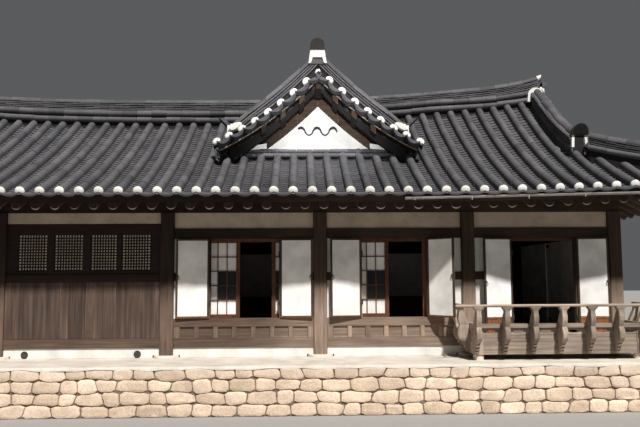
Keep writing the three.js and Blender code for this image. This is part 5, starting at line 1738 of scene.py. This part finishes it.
def balcony():
    """The balcony's boards and frame, its carved balusters, and its lower and upper rails."""
    deck, fascia, rails, carved, ends = (Shape() for _ in range(5))
    left, right, front, rear = BALCONY_LEFT, BALCONY_RIGHT, BALCONY_FRONT, -BALCONY_BACK
    rail_low, rail_high = LOWER_RAIL
    edges = np.linspace(left + 0.002, right - 0.002, 19)
    for low, high in zip(edges[:-1], edges[1:]):
        FRONT.box(deck, (low + 0.0015, front + 0.040, DECK_TOP - 0.040), (high - 0.0015, rear, DECK_TOP))
    for y in (-0.70, -0.45, -0.20):
        beam = (left + 0.04, y - 0.04, FASCIA_LOW + 0.06), (right - 0.04, y + 0.04, DECK_TOP - 0.041)
        FRONT.box(deck, *beam)
    left_side, right_side = Wall(left, 0, -90), Wall(right, 0, 90)
    sides = ((left_side, BALCONY_BACK, SIDE_BOARD_END), (right_side, -SIDE_BOARD_END, -BALCONY_BACK))
    boards = [(FRONT, left, right, front, 0.20)] + [(*side, 0.0, 0.205) for side in sides]
    for wall, a, b, y, split in boards:
        wall.box(fascia, (a, y, FASCIA_LOW), (b, y + 0.039, FASCIA_LOW + split))
        wall.box(fascia, (a, y + 0.003, FASCIA_LOW + split + 0.003), (b, y + 0.039, FASCIA_TOP))
    for x in (left, right - 0.15):
        FRONT.box(ends, (x, front - 0.012, FASCIA_LOW - 0.001), (x + 0.15, front, rail_low))
    heights = FASCIA_TOP, rail_low
    for span in zip(BALUSTERS[:-1], BALUSTERS[1:]):
        holed_board(fascia, FRONT, *span, *heights, front - 0.001, front + 0.020, (0.095, 0.026))
    for wall, a, b in sides:
        for span in ((a, (a + b) / 2), ((a + b) / 2, b)):
            holed_board(fascia, wall, *span, *heights, -0.001, 0.020, (0.060, 0.021))
    FRONT.box(rails, (left, front - 0.058, rail_low + 0.012), (right, front, rail_high))
    FRONT.box(rails, (left, front - 0.040, rail_low), (right, front, rail_low + 0.011))
    for x in (left, right - 0.055):
        FRONT.box(rails, (x, front, rail_low), (x + 0.055, rear, rail_high))
    for x in BALUSTERS:
        baluster(carved, Wall(0, front), x)
    for wall, turned in ((left_side, 1), (right_side, -1)):
        for place in (0.500, 0.210):
            baluster(carved, wall, turned * place, SIDE_REACH / 0.210)
    upper_left = (left - RAIL_OVERRUN, RAIL_FRONT, RAIL_HEIGHT)
    round_rail(rails, upper_left, (right + RAIL_OVERRUN, RAIL_FRONT, RAIL_HEIGHT))
    for x in (left - SIDE_REACH, right + SIDE_REACH):
        round_rail(rails, (x, RAIL_FRONT, RAIL_HEIGHT), (x, -0.0505, RAIL_HEIGHT))
    deck.build("balcony_boards", PALE_UPRIGHT, "pale_timber", replaces=("balcony_deck",))
    fascia.build("balcony_fascia", PALE_TIMBER, "pale_timber", bevel=0.002)
    ends.build("balcony_corner_boards", PALE_UPRIGHT, "pale_timber", bevel=0.003)
    rails.build("balcony_rails", PALE_TIMBER, "pale_timber", smooth=40)
    carved.build("balcony_balusters", PALE_UPRIGHT, "pale_timber", replaces=("balcony_railing",), smooth=28)


# Podium of coursed stones under a lime top

COURSES = 4
STONE_GAP = 0.0018
STONE_POINTS = 16
QUOIN = 0.27
CORE_INSET = 0.034
STONE_TOP = -0.012
BASE_HALF, BASE_TOP = 0.228, 0.040


def course_line(course, along):
    """The wavy joint line under a course of stones, and for the last course its top."""
    level = -GROUND + (GROUND + STONE_TOP) * course / COURSES + 0 * along
    if course == 0:
        return level
    calm = 0.4 if course == COURSES else 1.0
    waves = 0.013 * np.sin(along * 2.9 + course * 1.7) + 0.010 * np.sin(along * 7.3 + course * 2.9)
    return level + calm * (waves + 0.005 * np.sin(along * 15.1 + course))


def rubble_stone(shape, wall, course, left, right, depth):
    """One rough stone with worn corners; left and right are the places of its sides at its foot and head."""
    angles = (np.arange(STONE_POINTS) + 0.5) * 2 * np.pi / STONE_POINTS
    outline = np.stack([np.cos(angles), np.sin(angles)], axis=1)
    power = rng.uniform(5.0, 14.0)
    outline /= np.sum(np.abs(outline) ** power, axis=1, keepdims=True) ** (1 / power)
    outline *= 1 - np.abs(rng.normal(0, 0.030, (STONE_POINTS, 1)))
    lean, recess = rng.normal(0, 0.004, 2), rng.uniform(0, 0.007)
    sections = []
    for size, inward in ((1.0, depth), (1.0, 0.020), (0.965, 0.008), (0.87, 0.002), (0.50, 0.0)):
        across, up = (outline * size).T
        share = (up + 1) / 2
        foot = left[0] + (right[0] - left[0]) * (across + 1) / 2
        head = left[1] + (right[1] - left[1]) * (across + 1) / 2
        along = foot * (1 - share) + head * share
        low, high = course_line(course, along) + STONE_GAP, course_line(course + 1, along) - STONE_GAP
        rough = recess + outline @ lean + np.abs(rng.normal(0, 0.0025, STONE_POINTS))
        face = inward + rough * (inward < depth)
        points = np.stack([along, np.maximum(face, 0.0005), low + (high - low) * share], axis=1)
        sections.append(wall.place(points))
    shape.add(*loft(np.array(sections)))


def stone_side(shape, wall, a, b, takes_corners):
    """Courses of stones along one side; the corners' stones belong to each side in turn, course by course."""
    for course in range(COURSES):
        quoins = (course % 2 == 0) == takes_corners
        low, high = (a + 0.001, b - 0.001) if quoins else (a + QUOIN, b - QUOIN)
        joints = [low]
        while high - joints[-1] > 0.62:
            joints.append(joints[-1] + rng.uniform(0.24, 0.48))
        joints.append(high)
        slants = np.concatenate([[0], rng.normal(0, 0.018, len(joints) - 2), [0]])
        last = len(joints) - 2
        for k in range(last + 1):
            gap = (0 if k == 0 else STONE_GAP), (0 if k == last else STONE_GAP)
            left = joints[k] + gap[0] - slants[k], joints[k] + gap[0] + slants[k]
            right = joints[k + 1] - gap[1] - slants[k + 1], joints[k + 1] - gap[1] + slants[k + 1]
            depth = QUOIN - 0.005 if quoins and k in (0, last) else CORE_INSET + 0.006
            rubble_stone(shape, wall, course, left, right, depth)


def podium_sides(left, right, front, rear):
    return (
        (Wall(0, front), left, right), (Wall(0, rear, 180), -right, -left),
        (Wall(left, 0, -90), -rear, -front), (Wall(right, 0, 90), front, rear),
    )


def podium():
    """The podium's stones around a dark core, its top, and the stones that stand on it."""
    stones, core, top, bases = (Shape() for _ in range(4))
    left, right = LEFT_X - PODIUM_REACH, RIGHT_X + PODIUM_REACH
    front, rear = -PODIUM_REACH, DEPTH + PODIUM_REACH
    inset = CORE_INSET
    core.box((left + inset, front + inset, 0.0), (right - inset, rear - inset, GROUND - 0.02))
    for wall, a, b in podium_sides(left, right, front, rear):
        stone_side(stones, wall, a, b, takes_corners=abs(wall.axes[0, 0]) > 0.5)
    lime_top(top, left, right, front, rear)
    base_stones(bases)
    stones.build("podium_stones", STONE, "stone", smooth=32)
    core.build("podium_mortar", MORTAR_JOINT, "stone", replaces=("podium",))
    top.build("podium_lime_top", LIME_TOP, "stone", smooth=50)
    bases.build("base_stones", STONE, "stone", smooth=35)


def lime_top(shape, left, right, front, rear):
    """The podium's pale, slightly uneven top, with a rounded edge washed down over the highest stones."""
    inset = 0.07
    xs, ys = np.linspace(left + inset, right - inset, 60), np.linspace(front + inset, rear - inset, 30)
    x, y = np.meshgrid(xs, ys, indexing="ij")
    z = GROUND - 0.0015 - np.abs(rng.normal(0, 0.001, x.shape))
    z[[0, -1], :] = z[:, [0, -1]] = GROUND - 0.0015
    shape.add(np.stack([x, y, z], axis=-1).reshape(-1, 3), grid_quads(60, 30), 0.5, facing=(0, 0, 1))
    drops = ((inset, 0.0015), (0.035, 0.004), (0.014, 0.011), (0.003, 0.024), (0.0012, 0.048))
    for wall, a, b in podium_sides(left, right, front, rear):
        count = max(8, round((b - a) / 0.09))
        share = np.linspace(0, 1, count)
        worn = 0.010 * np.sin(share * (b - a) * 4.7) + 0.006 * np.sin(share * (b - a) * 11.9)
        worn += rng.normal(0, 0.002, count)
        worn[[0, -1]] = 0
        rows = []
        for place, drop in drops:
            along = a + place + (b - a - 2 * place) * share
            down = drop + (worn if drop == drops[-1][1] else 0)
            rows.append(wall.place(np.stack([along, place + 0 * along, -down + 0 * along], axis=1)))
        facing = wall.place([[0, -1, 0.4]])[0] - wall.origin
        shape.add(np.array(rows).reshape(-1, 3), grid_quads(len(rows), count), 0.5, facing=facing)


def base_stones(shape):
    """Flat stones under the columns and under the balcony's corners."""
    places = [(x, y) for x in COLUMN_LINES for y in (0, DEPTH)] + [(x, MIDDLE_Y) for x in (LEFT_X, RIGHT_X)]
    for x, y in places:
        worn_stone(shape, x, y, BASE_HALF, BASE_TOP)
    for x in (BALCONY_LEFT + 0.09, BALCONY_RIGHT - 0.09):
        worn_stone(shape, x, BALCONY_FRONT + 0.09, 0.088, FASCIA_LOW - 0.0003)


def worn_stone(shape, x, y, half, high):
    """A squarish stone with a flat worn head, sunk a little into the podium's top."""
    low = -0.01
    angles = full_turn(16) + math.pi / 16
    rings = []
    middle = low + (high - low) * 0.55
    for size, z in ((1.0, low), (1.0, middle), (0.96, high - 0.006), (0.90, high), (0.45, high)):
        ring = []
        for a in angles:
            u, v = math.cos(a), math.sin(a)
            square = 1 / max(abs(u), abs(v)) ** 0.72
            reach = min(half, half * 0.93 * square * size * (1 + rng.normal(0, 0.012)))
            across, ahead = np.clip((u * reach, v * reach), -half, half)
            ring.append((x + across, y + ahead, GROUND + z))
        rings.append(ring)
    shape.add(*loft(np.array(rings)))


def dress_solids():
    """Finishes of the solids that stay as they are."""
    finishes = {"floor": TIMBER, "front_plate": TIMBER, "plinth": LIME}
    for bay in (1, 2, 3):
        finishes[f"plank_wall_{bay}"] = TIMBER
    for name, *_ in DOORWAYS:
        finishes[name + "_sill"] = finishes[name + "_head"] = TIMBER
    for name in ("rear_wall", "left_wall", "right_wall"):
        finishes[name] = TIMBER_UPRIGHT
    for name in ("front_window_sheet", "rear_window_sheet", "left_wall_door_sheet", "right_wall_door_sheet"):
        finishes[name] = PAPER
    for name, material in finishes.items():
        for slot in frame["nodes"][name].material_slots:
            slot.material = material


posts()
plank_bays()
door_bays()
under_eave_infill()
other_walls()
gutter()
balcony()
podium()
dress_solids()


# Camera, floor and light

def stage_and_light():
    """A plain floor, a soft sky and a sun, and a spot that lights the cross gable's plaster."""
    bpy.ops.mesh.primitive_plane_add(size=160, location=(MIDDLE_X, MIDDLE_Y, 0))
    floor = bpy.context.object
    floor.name = "studio_floor"
    material, _, shader = new_material("pale_floor", 0.9)
    shader.inputs["Base Color"].default_value = (0.30, 0.29, 0.28, 1)
    floor.data.materials.append(material)
    world = bpy.data.worlds.new("studio")
    bpy.context.scene.world = world
    world.use_nodes = True
    background = world.node_tree.nodes["Background"]
    background.inputs["Color"].default_value = (0.92, 0.96, 1.0, 1)
    background.inputs["Strength"].default_value = 0.11
    sun = bpy.data.lights.new("key", "SUN")
    sun.energy = 5.5
    sun.angle = math.radians(3.0)
    sun.color = (1.0, 0.97, 0.93)
    key = bpy.data.objects.new("key", sun)
    key.rotation_euler = (math.radians(39), 0, math.radians(15))
    bpy.context.scene.collection.objects.link(key)
    spot = bpy.data.lights.new("gable_light", "SPOT")
    spot.energy = 5200
    spot.spot_size = math.radians(15)
    spot.spot_blend = 0.6
    spot.shadow_soft_size = 0.5
    lamp = bpy.data.objects.new("gable_light", spot)
    lamp.location = (0.5, -9.5, GROUND + 4.6)
    towards = Vector((0, GABLE_WALL, GROUND + 4.05)) - lamp.location
    lamp.rotation_euler = towards.to_track_quat("-Z", "Y").to_euler()
    bpy.context.scene.collection.objects.link(lamp)
    bpy.context.scene.view_settings.view_transform = "Standard"


CAMERA_PLACE = (-0.36, -11.95, 2.08)
CAMERA_ANGLES = (1.74, 5.22, -0.32)
CAMERA_LENS = 39.15


def add_camera():
    """The camera that took the photograph; its angles are yaw, pitch and roll in degrees."""
    yaw, pitch, roll = (math.radians(angle) for angle in CAMERA_ANGLES)
    forward = array(math.sin(yaw) * math.cos(pitch), math.cos(yaw) * math.cos(pitch), math.sin(pitch))
    level = array(math.cos(yaw), -math.sin(yaw), 0)
    above = np.cross(level, forward)
    right = math.cos(roll) * level + math.sin(roll) * above
    up = -math.sin(roll) * level + math.cos(roll) * above
    data = bpy.data.cameras.new("camera")
    data.lens = CAMERA_LENS
    data.sensor_width = 36
    data.clip_end = 300
    camera = bpy.data.objects.new("camera", data)
    matrix = np.eye(4)
    matrix[:3, 0], matrix[:3, 1], matrix[:3, 2] = right, up, -forward
    matrix[:3, 3] = CAMERA_PLACE
    camera.matrix_world = Matrix(matrix.tolist())
    bpy.context.scene.collection.objects.link(camera)
    bpy.context.scene.camera = camera


stage_and_light()
add_camera()
